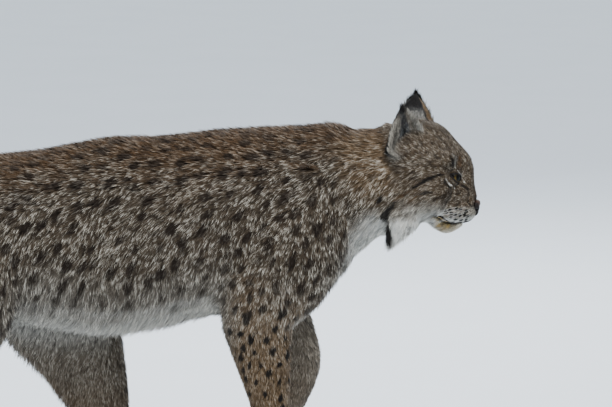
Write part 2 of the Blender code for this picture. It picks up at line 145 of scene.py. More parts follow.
def nearestSeeds(points, size, seed):
    # Jittered seeds, one to a cell: the distance to the nearest one, its place and its luck
    places = points / size
    home = np.floor(places).astype(np.int64)
    best = np.full(len(points), 9.0)
    seat = np.zeros_like(places)
    luck = np.zeros(len(points))
    for step in np.ndindex(3, 3, 3):
        cells = home + np.array(step) - 1
        spot = cells + 0.15 + 0.7 * np.stack([scatter(cells, seed + k) for k in range(3)], 1)
        gap = np.linalg.norm(places - spot, axis=1)
        nearer = gap < best
        best = np.where(nearer, gap, best)
        seat[nearer] = spot[nearer]
        luck[nearer] = scatter(cells[nearer], seed + 3)
    return best, seat * size, luck


def toLine(points, corners, normals=None):
    # Distance from points to a line through corners, and how far along it the nearest place is.
    # With normals it is mostly the distance along the surface
    corners = np.array(corners, float)
    best = np.full(len(points), 9.0)
    along = np.zeros(len(points))
    for i in range(len(corners) - 1):
        a, b = corners[i], corners[i + 1]
        t = np.clip(((points - a) @ (b - a)) / ((b - a) @ (b - a)), 0, 1)
        away = points - (a + t[:, None] * (b - a))
        if normals is not None:
            away -= normals * (away * normals).sum(1, keepdims=True) * 0.8
        gap = np.linalg.norm(away, axis=1)
        nearer = gap < best
        best = np.where(nearer, gap, best)
        along = np.where(nearer, (i + t) / (len(corners) - 1), along)
    return best, along


def pointsOf(mesh):
    flat = np.empty(len(mesh.vertices) * 3, np.float32)
    mesh.vertices.foreach_get("co", flat)
    return flat.reshape(-1, 3).astype(np.float64)


def trianglesOf(mesh):
    mesh.calc_loop_triangles()
    flat = np.empty(len(mesh.loop_triangles) * 3, np.int32)
    mesh.loop_triangles.foreach_get("vertices", flat)
    return flat.reshape(-1, 3)


def setPoints(mesh, points):
    mesh.vertices.foreach_set("co", points.astype(np.float32).ravel())
    mesh.update()


def vertexNormals(points, triangles):
    a, b, c = (points[triangles[:, k]] for k in range(3))
    faceNormals = np.cross(b - a, c - a)
    total = np.zeros_like(points)
    for k in range(3):
        for axis in range(3):
            total[:, axis] += np.bincount(triangles[:, k], faceNormals[:, axis], len(points))
    return unit(total)


class Web:
    # The edges of a mesh, for smoothing values over its surface
    def __init__(self, triangles, count):
        pairs = np.concatenate([triangles[:, [0, 1]], triangles[:, [1, 2]], triangles[:, [2, 0]]])
        pairs.sort(axis=1)
        pairs = np.unique(pairs, axis=0)
        self.a, self.b, self.count = pairs[:, 0], pairs[:, 1], count
        self.degree = np.maximum(np.bincount(self.a, minlength=count)
                                 + np.bincount(self.b, minlength=count), 1)

    def average(self, values):
        values = values.reshape(self.count, -1)
        out = np.empty_like(values)
        for k in range(values.shape[1]):
            column = values[:, k]
            out[:, k] = (np.bincount(self.a, column[self.b], self.count)
                         + np.bincount(self.b, column[self.a], self.count)) / self.degree
        return out

    def smooth(self, values, passes, share=0.5):
        shape = values.shape
        values = values.reshape(self.count, -1).astype(np.float64)
        for _ in range(passes):
            values = mixed(values, self.average(values), share)
        return values.reshape(shape)


# Selecting and finishing with operators
def alone(shape):
    bpy.ops.object.select_all(action='DESELECT')
    shape.select_set(True)
    bpy.context.view_layer.objects.active = shape


def applyModifier(shape, kind, **settings):
    alone(shape)
    modifier = shape.modifiers.new(kind.lower(), kind)
    for key, value in settings.items():
        setattr(modifier, key, value)
    bpy.ops.object.modifier_apply(modifier=modifier.name)


def faceCentres(mesh):
    flat = np.empty(len(mesh.polygons) * 3, np.float32)
    mesh.polygons.foreach_get("center", flat)
    return flat.reshape(-1, 3).astype(np.float64)


def selectFaces(shape, chosen):
    bpy.ops.object.mode_set(mode='EDIT')
    bpy.ops.mesh.select_mode(type='FACE')
    bpy.ops.mesh.select_all(action='DESELECT')
    bpy.ops.object.mode_set(mode='OBJECT')
    shape.data.polygons.foreach_set("select", chosen.astype(bool))
    bpy.ops.object.mode_set(mode='EDIT')


def turnOutwards(piece):
    # All faces outwards, shaded smooth
    alone(piece)
    selectFaces(piece, np.ones(len(piece.data.polygons)))
    bpy.ops.mesh.normals_make_consistent(inside=False)
    bpy.ops.object.mode_set(mode='OBJECT')
    bpy.ops.object.shade_smooth()


def newPiece(name, mesh):
    piece = bpy.data.objects.new(name, mesh)
    bpy.context.collection.objects.link(piece)
    return piece


def copyOfNodes(names, title):
    bpy.ops.object.select_all(action='DESELECT')
    for name in names:
        copy = newPiece(title, nodes[name].data.copy())
        copy.select_set(True)
        bpy.context.view_layer.objects.active = copy
    if len(names) > 1:
        bpy.ops.object.join()
    shape = bpy.context.object
    shape.name = title
    bpy.ops.object.mode_set(mode='EDIT')
    bpy.ops.mesh.select_all(action='SELECT')
    bpy.ops.mesh.remove_doubles(threshold=0.00002)
    bpy.ops.object.mode_set(mode='OBJECT')
    shape.data.materials.clear()
    return shape


# Shader maths on wrapped sockets
class Wire:
    tree = None

    def __init__(self, socket):
        self.socket = socket

    @classmethod
    def node(cls, kind, settings=None, output=0, **inputs):
        made = cls.tree.nodes.new(kind)
        for key, value in (settings or {}).items():
            if key == "stops":
                ramp = made.color_ramp
                while len(ramp.elements) < len(value):
                    ramp.elements.new(0.5)
                for element, (place, colour) in zip(ramp.elements, value):
                    element.position = place
                    element.color = (*colour, 1) if len(colour) == 3 else colour
            else:
                setattr(made, key, value)
        for key, value in inputs.items():
            socket = made.inputs[int(key[1:])] if key[0] == "i" and key[1:].isdigit() else made.inputs[key]
            if isinstance(value, Wire):
                cls.tree.links.new(value.socket, socket)
            else:
                socket.default_value = value
        return cls(made.outputs[output])

    @classmethod
    def maths(cls, operation, a, b=0.0, clamp=False):
        return cls.node('ShaderNodeMath', {"operation": operation, "use_clamp": clamp}, i0=a, i1=b)

    def __add__(self, other):
        return self.maths('ADD', self, other)

    def __mul__(self, other):
        return self.maths('MULTIPLY', self, other)

    def __sub__(self, other):
        return self.maths('SUBTRACT', self, other)

    def __rsub__(self, other):
        return self.maths('SUBTRACT', other, self)

    def held(self):
        return self.maths('ADD', self, 0.0, clamp=True)

    def between(self, low, high):
        return self.node('ShaderNodeMapRange', {"interpolation_type": 'SMOOTHSTEP'},
                         i0=self, i1=low, i2=high)


def tinted(base, colour, share):
    # Mixes a colour over another by a share
    settings = {"data_type": 'RGBA', "blend_type": 'MIX'}
    made = Wire.node('ShaderNodeMix', settings, output=2, i0=share)
    node = made.socket.node
    for socket, value in ((node.inputs[6], base), (node.inputs[7], colour)):
        if isinstance(value, Wire):
            Wire.tree.links.new(value.socket, socket)
        else:
            socket.default_value = (*value, 1)
    return made


def darkened(colour, factor):
    return Wire.node('ShaderNodeVectorMath', {"operation": 'SCALE'}, Vector=colour, Scale=factor)


def newMaterial(name, **constants):
    finish = bpy.data.materials.new(name)
    finish.use_nodes = True
    shader = finish.node_tree.nodes["Principled BSDF"]
    for key, value in constants.items():
        shader.inputs[key.replace("_", " ")].default_value = value
    Wire.tree = finish.node_tree
    return finish, shader


def feed(shader, name, wire):
    Wire.tree.links.new(wire.socket, shader.inputs[name])


def attribute(name, output="Color"):
    made = Wire.node('ShaderNodeAttribute', {"attribute_name": name})
    made.socket = made.socket.node.outputs[output]
    return made


def split(colour):
    made = Wire.node('ShaderNodeSeparateColor', None, Color=colour).socket.node
    return [Wire(socket) for socket in made.outputs]


def bumped(height, distance):
    return Wire.node('ShaderNodeBump', None, Height=height, Distance=distance, Strength=1.0)


def grainOf(scale, detail=2.0):
    # Noise that stays with the shape
    place = Wire.node('ShaderNodeTexCoord', None, output="Object")
    return Wire.node('ShaderNodeTexNoise', None, output=0, Vector=place, Scale=scale, Detail=detail)


# Camera at the photo's viewing angle
viewPlan = {
    "elevation": 8.0, "target": (0.2209, 0.0, 0.526), "distance": 5.0, "pictureWidth": 0.9486,
    "sensor": 36,
}


def placeCamera():
    tilt = math.radians(viewPlan["elevation"])
    away = Vector((0, -math.cos(tilt), math.sin(tilt))) * viewPlan["distance"]
    bpy.ops.object.camera_add(location=Vector(viewPlan["target"]) + away,
                              rotation=(math.pi / 2 - tilt, 0, 0))
    camera = bpy.context.object
    camera.name = "photoCamera"
    camera.data.sensor_width = viewPlan["sensor"]
    camera.data.lens = viewPlan["sensor"] * viewPlan["distance"] / viewPlan["pictureWidth"]
    bpy.context.scene.camera = camera
    print("camera placed")


# The eye: its place comes from the solid's eye, its gaze from the head
eyePlan = {
    "size": 1.0, "shift": (-0.0020, 0.0, 0.0), "gaze": (0.85, 0.52, 0.03),
    "innerCorner": (-0.76, -0.60), "outerCorner": (0.86, 0.46),
    "upperRise": 0.47, "lowerDrop": 0.48, "rimLift": 1.060, "rimWidth": 0.00090,
    "lidReach": 2.6, "lidLift": 1.10, "lidCrease": 0.045, "lidSwell": 0.05, "edgeLift": 1.06,
    "behindBall": 0.80, "ball": 0.992, "cornea": 0.055, "corneaTurn": 46,
}


class EyeSeat:
    # The eye's own axes: forwards along the gaze, sideways to the outer corner, and up
    def __init__(self, name, side):
        self.side = side
        low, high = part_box(name)
        self.radius = (high.z - low.z) / 2 * eyePlan["size"]
        self.centre = np.array(middleOf(name)) + turnFromFace(eyePlan["shift"])
        x, y, z = eyePlan["gaze"]
        self.gaze = unit(turnFromFace([x, y * side, z]))
        up = turnFromFace([0, 0, 1])
        self.up = unit(flatTo(up, self.gaze))
        self.out = np.cross(self.gaze, self.up) * -side
        self.axes = np.stack([self.gaze, self.out, self.up], 1)

    def local(self, points):
        # Direction from the eye's centre, and the distance in eye radii
        away = (points - self.centre) @ self.axes / self.radius
        reach = np.linalg.norm(away, axis=-1)
        return away / np.maximum(reach, 1e-6)[..., None], reach

    def world(self, directions, reach):
        return self.centre + (directions * np.asarray(reach)[..., None] * self.radius) @ self.axes.T

    def opening(self, turns):
        # The lids' edge at turns from 0 to 2: the upper lid from the inner corner, then back below
        inner, outer = np.array(eyePlan["innerCorner"]), np.array(eyePlan["outerCorner"])
        t = np.where(turns < 1, turns, 2 - turns)
        line = inner + (outer - inner) * t[:, None]
        across = np.array([-(outer - inner)[1], (outer - inner)[0]])
        across /= np.linalg.norm(across)
        bow = (4 * t * (1 - t)) ** 0.7
        rise = np.where(turns < 1, eyePlan["upperRise"], -eyePlan["lowerDrop"]) * bow
        return line + across * rise[:, None]

    def edgeDistance(self, flat):
        # Signed distance in eye radii from the lids' edge, positive inside the opening
        loop = self.opening(np.linspace(0, 2, 97)[:-1])
        gap = np.full(len(flat), 9.0)
        winding = np.zeros(len(flat))
        for a, b in zip(loop, np.roll(loop, -1, axis=0)):
            t = np.clip(((flat - a) @ (b - a)) / ((b - a) @ (b - a) + 1e-12), 0, 1)
            gap = np.minimum(gap, np.linalg.norm(flat - (a + t[:, None] * (b - a)), axis=1))
            crossing = (a[1] > flat[:, 1]) != (b[1] > flat[:, 1])
            height = b[1] - a[1] if abs(b[1] - a[1]) > 1e-9 else 1e-9
            place = a[0] + (flat[:, 1] - a[1]) / height * (b[0] - a[0])
            winding += crossing & (flat[:, 0] < place)
        return np.where(winding % 2 == 1, gap, -gap)


eyeSeats = [EyeSeat("eye_left", 1), EyeSeat("eye_right", -1)]

# Ears in the face's axes: the way each tip points and the way each opening faces
earPlan = {
    "earLeft": {"root": (-0.0615, 0.037, 0.0375), "axis": (-0.060, 0.270, 0.970),
                "facing": (0.08, 1.0, -0.1)},
    "earRight": {"root": (-0.0615, -0.037, 0.0375), "axis": (-0.209, -0.268, 0.940),
                 "facing": (0.53, -0.84, -0.12)},
    "length": 0.081, "halfWidth": 0.034, "back": 0.38,
}
earNames = ("earLeft", "earRight")


def earFrame(name):
    # An ear's root, the way it points, the way it opens, and the way across it to its front edge
    root, axis, facing = (np.array(earPlan[name][key]) for key in ("root", "axis", "facing"))
    axis = unit(axis)
    facing = unit(flatTo(facing, axis))
    across = np.cross(axis, facing)
    return root, axis, facing, across * np.sign(across[0])


# The skin: how finely it is worked, and how deep under the coat's tips it lies in each region
skinPlan = {
    "swell": 0.0007, "voxel": 0.0024, "evening": 6, "bodyShare": 0.14, "headFrom": 0.315,
    "headAbove": 0.43, "faceReach": 0.024, "eyeReach": 0.0175, "muzzle": (0.028, 0, -0.058),
    "shoulderDown": 0.345, "narrowBlend": 14, "blend": 70, "ankle": 70, "ankleFill": 0.0020,
    "faceLess": 0.0026, "cheekMore": 0.0015, "bellyMore": 0.006, "napeLess": 0.0010,
    "lowest": 0.0004, "depthPasses": 6, "normalPasses": 3, "headPasses": 8, "headShare": 0.9,
    "ankleShare": 4, "legShare": 0.5,
    "depth": {
        "head": 0.0036, "earLeft": 0.0009, "earRight": 0.0009, "ruff": 0.0045, "neck": 0.0065,
        "trunk": 0.0085, "tail": 0.0080, "shoulder": 0.0065, "thigh": 0.0080, "leg": 0.0040,
        "paw": 0.0024, "raisedPaw": 0.0024,
    },
}


def findRegions(points):
    # The share of each region at each point of the skin, from the nearest flesh node
    corners, faces, owners = [], [], []
    start = 0
    for name, region in regionOf.items():
        mesh = nodes[name].data
        corners.append(pointsOf(mesh))
        triangles = trianglesOf(mesh)
        faces.append(triangles + start)
        owners += [regionIndex[region]] * len(triangles)
        start += len(mesh.vertices)
    tree = BVHTree.FromPolygons(np.concatenate(corners).tolist(), np.concatenate(faces).tolist())
    shares = np.zeros((len(points), len(regions)))
    for i, point in enumerate(points.tolist()):
        owner = owners[tree.find_nearest(point)[2]]
        if owner == regionIndex["shoulder"] and point[2] < skinPlan["shoulderDown"]:
            owner = regionIndex["leg"]
        shares[i, owner] = 1
    return shares


class Pelt:
    # The skin's arrays: places, normals, triangles, region shares and the way its coat lies
    def share(self, *names):
        return sum(self.shares[:, regionIndex[name]] for name in names)

    def blend(self, table):
        # A table's value for each region, mixed by the regions' shares
        return sum(self.share(name) * value for name, value in table.items())


def faceDetail(face):
    # 1 on the short-haired front of the face, 0 on the cheeks and behind
    front = smoothStep(-0.030, 0.005, face[:, 0])
    jaw = smoothStep(-0.030, -0.055, face[:, 2]) * smoothStep(-0.03, 0.0, face[:, 0])
    return np.clip(front + jaw, 0, 1)


def halfFace(face):
    # Both halves of the face laid over its left half
    return np.stack([face[:, 0], abs(face[:, 1]), face[:, 2]], 1)


def coatDepth(pelt):
    # How deep the skin lies under the coat's tips
    depth = pelt.blend(skinPlan["depth"])
    face = pelt.face
    headShare = pelt.share("head")
    depth -= headShare * faceDetail(face) * skinPlan["faceLess"]
    cheek = smoothStep(-0.02, -0.05, face[:, 0]) * smoothStep(0.035, 0.06, abs(face[:, 1]))
    depth += headShare * cheek * skinPlan["cheekMore"]
    belly = pelt.share("trunk") * smoothStep(-0.3, -0.9, pelt.normals[:, 2])
    nape = pelt.share("neck") * smoothStep(0.2, 0.8, pelt.normals[:, 2])
    return depth + belly * skinPlan["bellyMore"] - nape * skinPlan["napeLess"]


def shapeLids(pelt):
    # Draws the skin over each eyeball as lids, and sinks it behind the ball inside the opening
    for seat in eyeSeats:
        direction, reach = seat.local(pelt.points)
        near = (reach < eyePlan["lidReach"]) & (direction[:, 0] > 0.10)
        edge = seat.edgeDistance(direction[near, 1:])
        crease = eyePlan["lidCrease"] * np.exp(-((edge + 0.30) / 0.07) ** 2)
        lid = eyePlan["lidLift"] - crease + eyePlan["lidSwell"] * smoothStep(-0.1, -0.4, edge)
        sunk = mixed(eyePlan["edgeLift"], eyePlan["behindBall"], smoothStep(0.0, 0.10, edge))
        target = np.where(edge > 0.0, sunk, lid)
        hold = smoothStep(-0.80, -0.25, edge) * smoothStep(0.05, 0.30, direction[near, 0])
        moved = mixed(reach[near], target, hold)
        pelt.points[near] = seat.world(direction[near], moved)


# The mouth from its middle to its corner, on the left half of the face
mouthLine = [(0.0350, 0.0, -0.0650), (0.0325, 0.0120, -0.0665), (0.0250, 0.0240, -0.0675),
             (0.0110, 0.0290, -0.0695), (-0.0060, 0.0310, -0.0710), (-0.0160, 0.0360, -0.0675),
             (-0.0225, 0.0440, -0.0615), (-0.0265, 0.0540, -0.0550)]

# The face's swellings and hollows: how far outwards, the middle, and the reach along each axis
facePart = {
    "whiskerPad": (0.0048, (0.013, 0.028, -0.056), (0.017, 0.015, 0.011)),
    "lipFront": (-0.0040, (0.036, 0.008, -0.0635), (0.012, 0.020, 0.009)),
    "underEye": (-0.0020, (0.004, 0.040, -0.036), (0.020, 0.014, 0.009)),
    "cheekbone": (0.0020, (-0.020, 0.048, -0.014), (0.022, 0.020, 0.012)),
    "forehead": (-0.0050, (0.010, 0.0, 0.050), (0.034, 0.036, 0.027)),
    "bridge": (-0.0018, (0.032, 0.0, 0.002), (0.020, 0.020, 0.022)),
    "besideNose": (-0.0034, (0.038, 0.012, -0.050), (0.009, 0.007, 0.009)),
}
foldPlan = {"mouthDeep": 0.0026, "mouthHalf": 0.0020, "lipGroove": 0.0012, "grooveHalf": 0.0016}


def shapeFace(pelt):
    # Folds and grooves of the face, as moves along the skin's normals
    face = toFace(pelt.points)
    mirrored = halfFace(face)
    groove = np.exp(-(face[:, 1] / foldPlan["grooveHalf"]) ** 2) * smoothStep(-0.064, -0.058, face[:, 2]) \
        * smoothStep(0.020, 0.026, face[:, 0]) * smoothStep(-0.052, -0.056, face[:, 2])
    gap, _ = toLine(mirrored, mouthLine)
    fold = np.exp(-(gap / foldPlan["mouthHalf"]) ** 2)
    move = -foldPlan["lipGroove"] * groove - foldPlan["mouthDeep"] * fold
    for outwards, middle, reach in facePart.values():
        move += outwards * nearness(mirrored, middle, reach)
    pelt.points += pelt.normals * (move * pelt.share("head"))[:, None]

    # The ears' rear halves reach further back
    for name in earNames:
        root, axis, _, across = earFrame(name)
        up = (face - root) @ axis / earPlan["length"]
        behind = np.minimum((face - root) @ across, 0)
        behind *= smoothStep(0.02, 0.25, up) * smoothStep(1.0, 0.75, up)
        behind *= earPlan["back"] * np.clip(pelt.share(name) * 1.5, 0, 1)
        pelt.points += turnFromFace(across) * behind[:, None]


# Paws: the furrows between the toes, as shares of the paw's width from its middle, and how dark the shade
# in them is painted
pawPlan = {
    "furrows": (-0.25, 0.0, 0.25), "deep": 0.0050, "half": 0.0026, "from": 0.40, "dark": 0.7,
    "raisedToes": (-0.438, 0, -0.899),
}


def toeFurrows(points, share):
    # 1 in the middle of a furrow between two toes, 0 away from it
    total = np.zeros(len(points))
    for name in ("forepaw_right", "hindpaw_right", "hindpaw_left", "forepaw_left"):
        low, high = (np.array(corner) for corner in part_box(name))
        ahead = np.array(pawPlan["raisedToes"] if name == "forepaw_left" else (1.0, 0.0, 0.0))
        middle = (low + high) / 2
        half = abs(ahead) @ (high - low) / 2
        within = np.all((points > low - 0.01) & (points < high + 0.01), axis=1)
        front = smoothStep(pawPlan["from"] - 0.5, pawPlan["from"], ((points - middle) @ ahead) / half)
        for place in pawPlan["furrows"]:
            away = points[:, 1] - middle[1] - place * (high[1] - low[1])
            total = np.maximum(total, within * front * np.exp(-(away / pawPlan["half"]) ** 2))
    return total * share


def refine(shape, reach, places):
    centres = faceCentres(shape.data)
    near = np.zeros(len(centres), bool)
    for place in places:
        near |= np.linalg.norm(centres - place, axis=1) < reach
    selectFaces(shape, near)
    bpy.ops.mesh.subdivide(number_cuts=1)
    bpy.ops.object.mode_set(mode='OBJECT')


def meshSkin():
    # One skin over all flesh nodes, finer on the head, most of all around the eyes and nose
    skin = copyOfNodes(list(regionOf) + ["eye_left", "eye_right"], "skin")
    applyModifier(skin, 'DISPLACE', strength=skinPlan["swell"], mid_level=0)
    applyModifier(skin, 'REMESH', mode='VOXEL', voxel_size=skinPlan["voxel"])
    applyModifier(skin, 'SMOOTH', factor=0.5, iterations=skinPlan["evening"])
    centres = faceCentres(skin.data)
    body = (centres[:, 0] < skinPlan["headFrom"]) | (centres[:, 2] < skinPlan["headAbove"])
    selectFaces(skin, body)
    bpy.ops.mesh.decimate(ratio=skinPlan["bodyShare"])
    bpy.ops.object.mode_set(mode='OBJECT')
    eyes = [seat.centre for seat in eyeSeats]
    refine(skin, skinPlan["faceReach"], eyes + [fromFace(skinPlan["muzzle"])])
    refine(skin, skinPlan["eyeReach"], eyes)
    selectFaces(skin, np.ones(len(skin.data.polygons)))
    bpy.ops.mesh.quads_convert_to_tris()
    bpy.ops.object.mode_set(mode='OBJECT')
    print("skin meshed:", len(skin.data.polygons), "triangles")
    return skin


def buildSkin():
    # Lays the skin under the coat's tips, then draws its ankles, lids, paws and face
    skin = meshSkin()
    pelt = Pelt()
    pelt.points = pointsOf(skin.data)
    pelt.triangles = trianglesOf(skin.data)
    pelt.web = Web(pelt.triangles, len(pelt.points))
    pelt.shares = pelt.web.smooth(findRegions(pelt.points), skinPlan["narrowBlend"])
    wide = pelt.web.smooth(pelt.shares, skinPlan["blend"])
    ahead = smoothStep(0.28, 0.34, pelt.points[:, 0]) * smoothStep(0.40, 0.46, pelt.points[:, 2])
    pelt.shares = mixed(wide, pelt.shares, ahead[:, None])
    pelt.shares /= pelt.shares.sum(1, keepdims=True)
    pelt.normals = vertexNormals(pelt.points, pelt.triangles)
    pelt.face = toFace(pelt.points)
    depth = pelt.web.smooth(coatDepth(pelt), skinPlan["depthPasses"])
    pelt.points -= pelt.web.smooth(pelt.normals, skinPlan["normalPasses"]) * depth[:, None]
    relaxed = pelt.web.smooth(pelt.points, skinPlan["headPasses"])
    headShare = pelt.share("head", "neck")[:, None] * skinPlan["headShare"]
    pelt.points = mixed(pelt.points, relaxed, headShare)
    ankle = skinPlan["ankleShare"] * pelt.share("leg") * pelt.share("paw", "raisedPaw")
    relaxed = pelt.web.smooth(pelt.points, skinPlan["ankle"])
    legShare = np.clip(ankle + skinPlan["legShare"] * pelt.share("leg"), 0, 1)[:, None]
    pelt.points = mixed(pelt.points, relaxed, legShare)
    pelt.points += pelt.normals * (ankle * skinPlan["ankleFill"])[:, None]
    shapeLids(pelt)
    pelt.normals = vertexNormals(pelt.points, pelt.triangles)
    furrows = toeFurrows(pelt.points, pelt.share("paw", "raisedPaw"))
    pelt.points -= pelt.normals * (furrows * pawPlan["deep"])[:, None]
    shapeFace(pelt)
    pelt.points[:, 2] = np.maximum(pelt.points[:, 2], skinPlan["lowest"])
    setPoints(skin.data, pelt.points)
    pelt.normals = vertexNormals(pelt.points, pelt.triangles)
    pelt.face = toFace(pelt.points)
    pelt.skin = skin
    print("skin shaped")
    return pelt


# The coat's values over the skin: length, width and lift of its tufts, how many to a square
# metre, and which way they lie
coatPlan = {
    "length": {"head": 0.0100, "earLeft": 0.0050, "earRight": 0.0050, "ruff": 0.0180, "neck": 0.0185,
               "trunk": 0.0165, "tail": 0.0160, "shoulder": 0.0145, "thigh": 0.0160, "leg": 0.0105,
               "paw": 0.0075, "raisedPaw": 0.0075},
    "width": {"head": 0.00080, "earLeft": 0.0006, "earRight": 0.0006, "ruff": 0.0010, "neck": 0.00115,
              "trunk": 0.00120, "tail": 0.0012, "shoulder": 0.00115, "thigh": 0.00120, "leg": 0.00095,
              "paw": 0.00080, "raisedPaw": 0.00080},
    "density": {"head": 17.0, "earLeft": 18.0, "earRight": 18.0, "ruff": 17.0, "neck": 9.0,
                "trunk": 6.35, "tail": 6.35, "shoulder": 7.0, "thigh": 6.0, "leg": 6.2,
                "paw": 5.4, "raisedPaw": 7.0},
    "lift": {"head": 0.40, "earLeft": 0.25, "earRight": 0.25, "ruff": 0.28, "neck": 0.50,
             "trunk": 0.56, "tail": 0.45, "shoulder": 0.50, "thigh": 0.52, "leg": 0.36,
             "paw": 0.28, "raisedPaw": 0.28},
    "lie": {"shoulder": (-0.45, 0, -1.0), "thigh": (-0.50, 0, -1.0), "leg": (-0.12, 0, -1.0),
            "paw": (0.9, 0, -0.45), "raisedPaw": (-0.40, 0, -0.92), "tail": (-0.12, 0, -1.0)},
    "densityUnit": 1e5, "bellyLength": 0.010, "bellyLift": 0.15, "fringeLength": 0.009, "fringeLift": 0.25,
}

# Parts of the head whose coat differs from their region's
coatPatches = {
    "faceFront": {"length": 0.0075, "width": 0.00055, "density": 28e5, "lift": 0.26},
    "muzzle": {"length": 0.0033, "width": 0.00038, "density": 45e5, "lift": 0.20},
    "cheek": {"length": 0.0165},
    "insideEar": {"length": 0.0120, "width": 0.0006, "lift": 0.45},
    "besideEye": {"length": 0.0038, "lift": 0.24},
}


def layOfCoat(pelt):
    # Directions by region, blended, then laid flat on the skin
    points, normals, face = pelt.points, pelt.normals, pelt.face
    flank = 1 - smoothStep(0.1, 0.85, normals[:, 2])
    under = smoothStep(-0.3, -0.9, normals[:, 2])

    def stack(x, y, z):
        return np.stack(np.broadcast_arrays(x, y, z), 1).astype(float)

    low = smoothStep(0.50, 0.40, points[:, 2])
    trunk = stack(-1.0 + 0.6 * low, 0, (-1.0 - 0.3 * low) * flank)
    trunk = mixed(trunk, np.array([-0.6, 0, -1.0]), under[:, None])
    front = smoothStep(0.16, 0.27, points[:, 0])[:, None]
    trunk = mixed(trunk, np.array([-0.35, 0, -1.0]), front * flank[:, None])
    lay = trunk * pelt.share("trunk")[:, None]
    lay += stack(-1.0, 0, -0.45 * flank - 0.2) * pelt.share("neck")[:, None]
    for name, way in coatPlan["lie"].items():
        lay += np.array(way) * pelt.share(name)[:, None]

    fromNose = unit(face - np.array([0.048, 0, -0.040]))
    fromNose[:, 1] *= 0.7
    cheek = smoothStep(0.01, -0.06, face[:, 0]) * smoothStep(0.025, 0.05, abs(face[:, 1])) \
        * smoothStep(0.045, 0.0, face[:, 2])
    fromNose = mixed(fromNose, unit(stack(-0.75, 0.20 * np.sign(face[:, 1]), -0.65)), cheek[:, None] * 0.8)
    lay += turnFromFace(fromNose) * pelt.share("head")[:, None]
    lay += turnFromFace(stack(-0.38, 0.06 * np.sign(face[:, 1]), -1.0)) * pelt.share("ruff")[:, None]
    for name in earNames:
        axis = unit(np.array(earPlan[name]["axis"]))
        facing = unit(np.array(earPlan[name]["facing"]))
        inner = smoothStep(0.1, 0.7, pelt.normals @ turnFromFace(facing))[:, None]
        opening = turnFromFace(unit(axis * 0.8 + facing * 0.5))
        lay += mixed(turnFromFace(axis), opening, inner) * pelt.share(name)[:, None]
    lay = pelt.web.smooth(lay, 10)
    return unit(flatTo(lay, normals))


def growCoatValues(pelt):
    # Everything the tufts need, as columns on the skin's vertices
    points, normals, face = pelt.points, pelt.normals, pelt.face
    coat = {key: pelt.blend(coatPlan[key]) for key in ("length", "width", "density", "lift")}
    coat["density"] *= coatPlan["densityUnit"]

    def grow(patch, share):
        for key, value in coatPatches[patch].items():
            coat[key] = mixed(coat[key], value, share)

    head = pelt.share("head")
    muzzle = smoothStep(0.010, 0.030, face[:, 0]) * smoothStep(0.0, -0.02, face[:, 2])
    cheek = smoothStep(0.0, -0.05, face[:, 0]) * smoothStep(0.03, 0.055, abs(face[:, 1])) \
        * smoothStep(0.03, -0.01, face[:, 2])
    under = pelt.share("trunk") * smoothStep(-0.2, -0.8, normals[:, 2])
    coat["lift"] += coatPlan["bellyLift"] * under
    grow("faceFront", head * faceDetail(face))
    grow("muzzle", head * muzzle)
    grow("cheek", head * cheek)
    coat["length"] += coatPlan["bellyLength"] * under
    for name in earNames:
        facing = turnFromFace(unit(np.array(earPlan[name]["facing"])))
        grow("insideEar", smoothStep(0.2, 0.7, normals @ facing) * pelt.share(name))

    # Bare eyes, nose and lips
    for seat in eyeSeats:
        direction, reach = seat.local(points)
        near = (reach < 2.4) & (direction[:, 0] > 0.1)
        edge = np.full(len(points), -9.0)
        edge[near] = seat.edgeDistance(direction[near, 1:])
        grow("besideEye", smoothStep(-0.7, -0.15, edge))
        coat["density"] *= 1 - smoothStep(-0.10, -0.05, edge) * (reach < 1.6)
    nose = np.linalg.norm((face - [0.034, 0, -0.052]) / [1.0, 1.45, 1.2], axis=1)
    coat["density"] *= smoothStep(0.0066, 0.0084, nose)
    lips, _ = toLine(halfFace(face), mouthLine)
    coat["density"] *= 1 - head * smoothStep(0.0026, 0.0016, lips)

    # A fringe behind the hind legs
    rear = smoothStep(0.2, 0.8, -normals[:, 0]) * smoothStep(-0.05, -0.12, points[:, 0])
    fringe = rear * pelt.share("thigh", "leg") * smoothStep(0.14, 0.22, points[:, 2])
    coat["length"] += coatPlan["fringeLength"] * fringe
    coat["lift"] += coatPlan["fringeLift"] * fringe
    return coat


# Dark spots: how far apart they lie, and half their length and width, by region
spotPlan = {
    "tries": 16000, "most": 6000, "raggedness": 0.38, "raggedSize": 0.0050,
    "size": (0.72, 1.18), "longer": (0.85, 1.2), "dark": (0.85, 1.0),
    "apart": {"trunk": 0.0235, "thigh": 0.0220, "shoulder": 0.0215, "leg": 0.0140, "neck": 0.030,
              "tail": 0.022, "paw": 0.0135, "raisedPaw": 0.0135},
    "long": {"trunk": 0.0104, "thigh": 0.0102, "shoulder": 0.0090, "leg": 0.0056, "neck": 0.0070,
             "tail": 0.0080, "paw": 0.0040, "raisedPaw": 0.0040},
    "wide": {"trunk": 0.0064, "thigh": 0.0062, "shoulder": 0.0056, "leg": 0.0038, "neck": 0.0040,
             "tail": 0.0050, "paw": 0.0030, "raisedPaw": 0.0030},
}


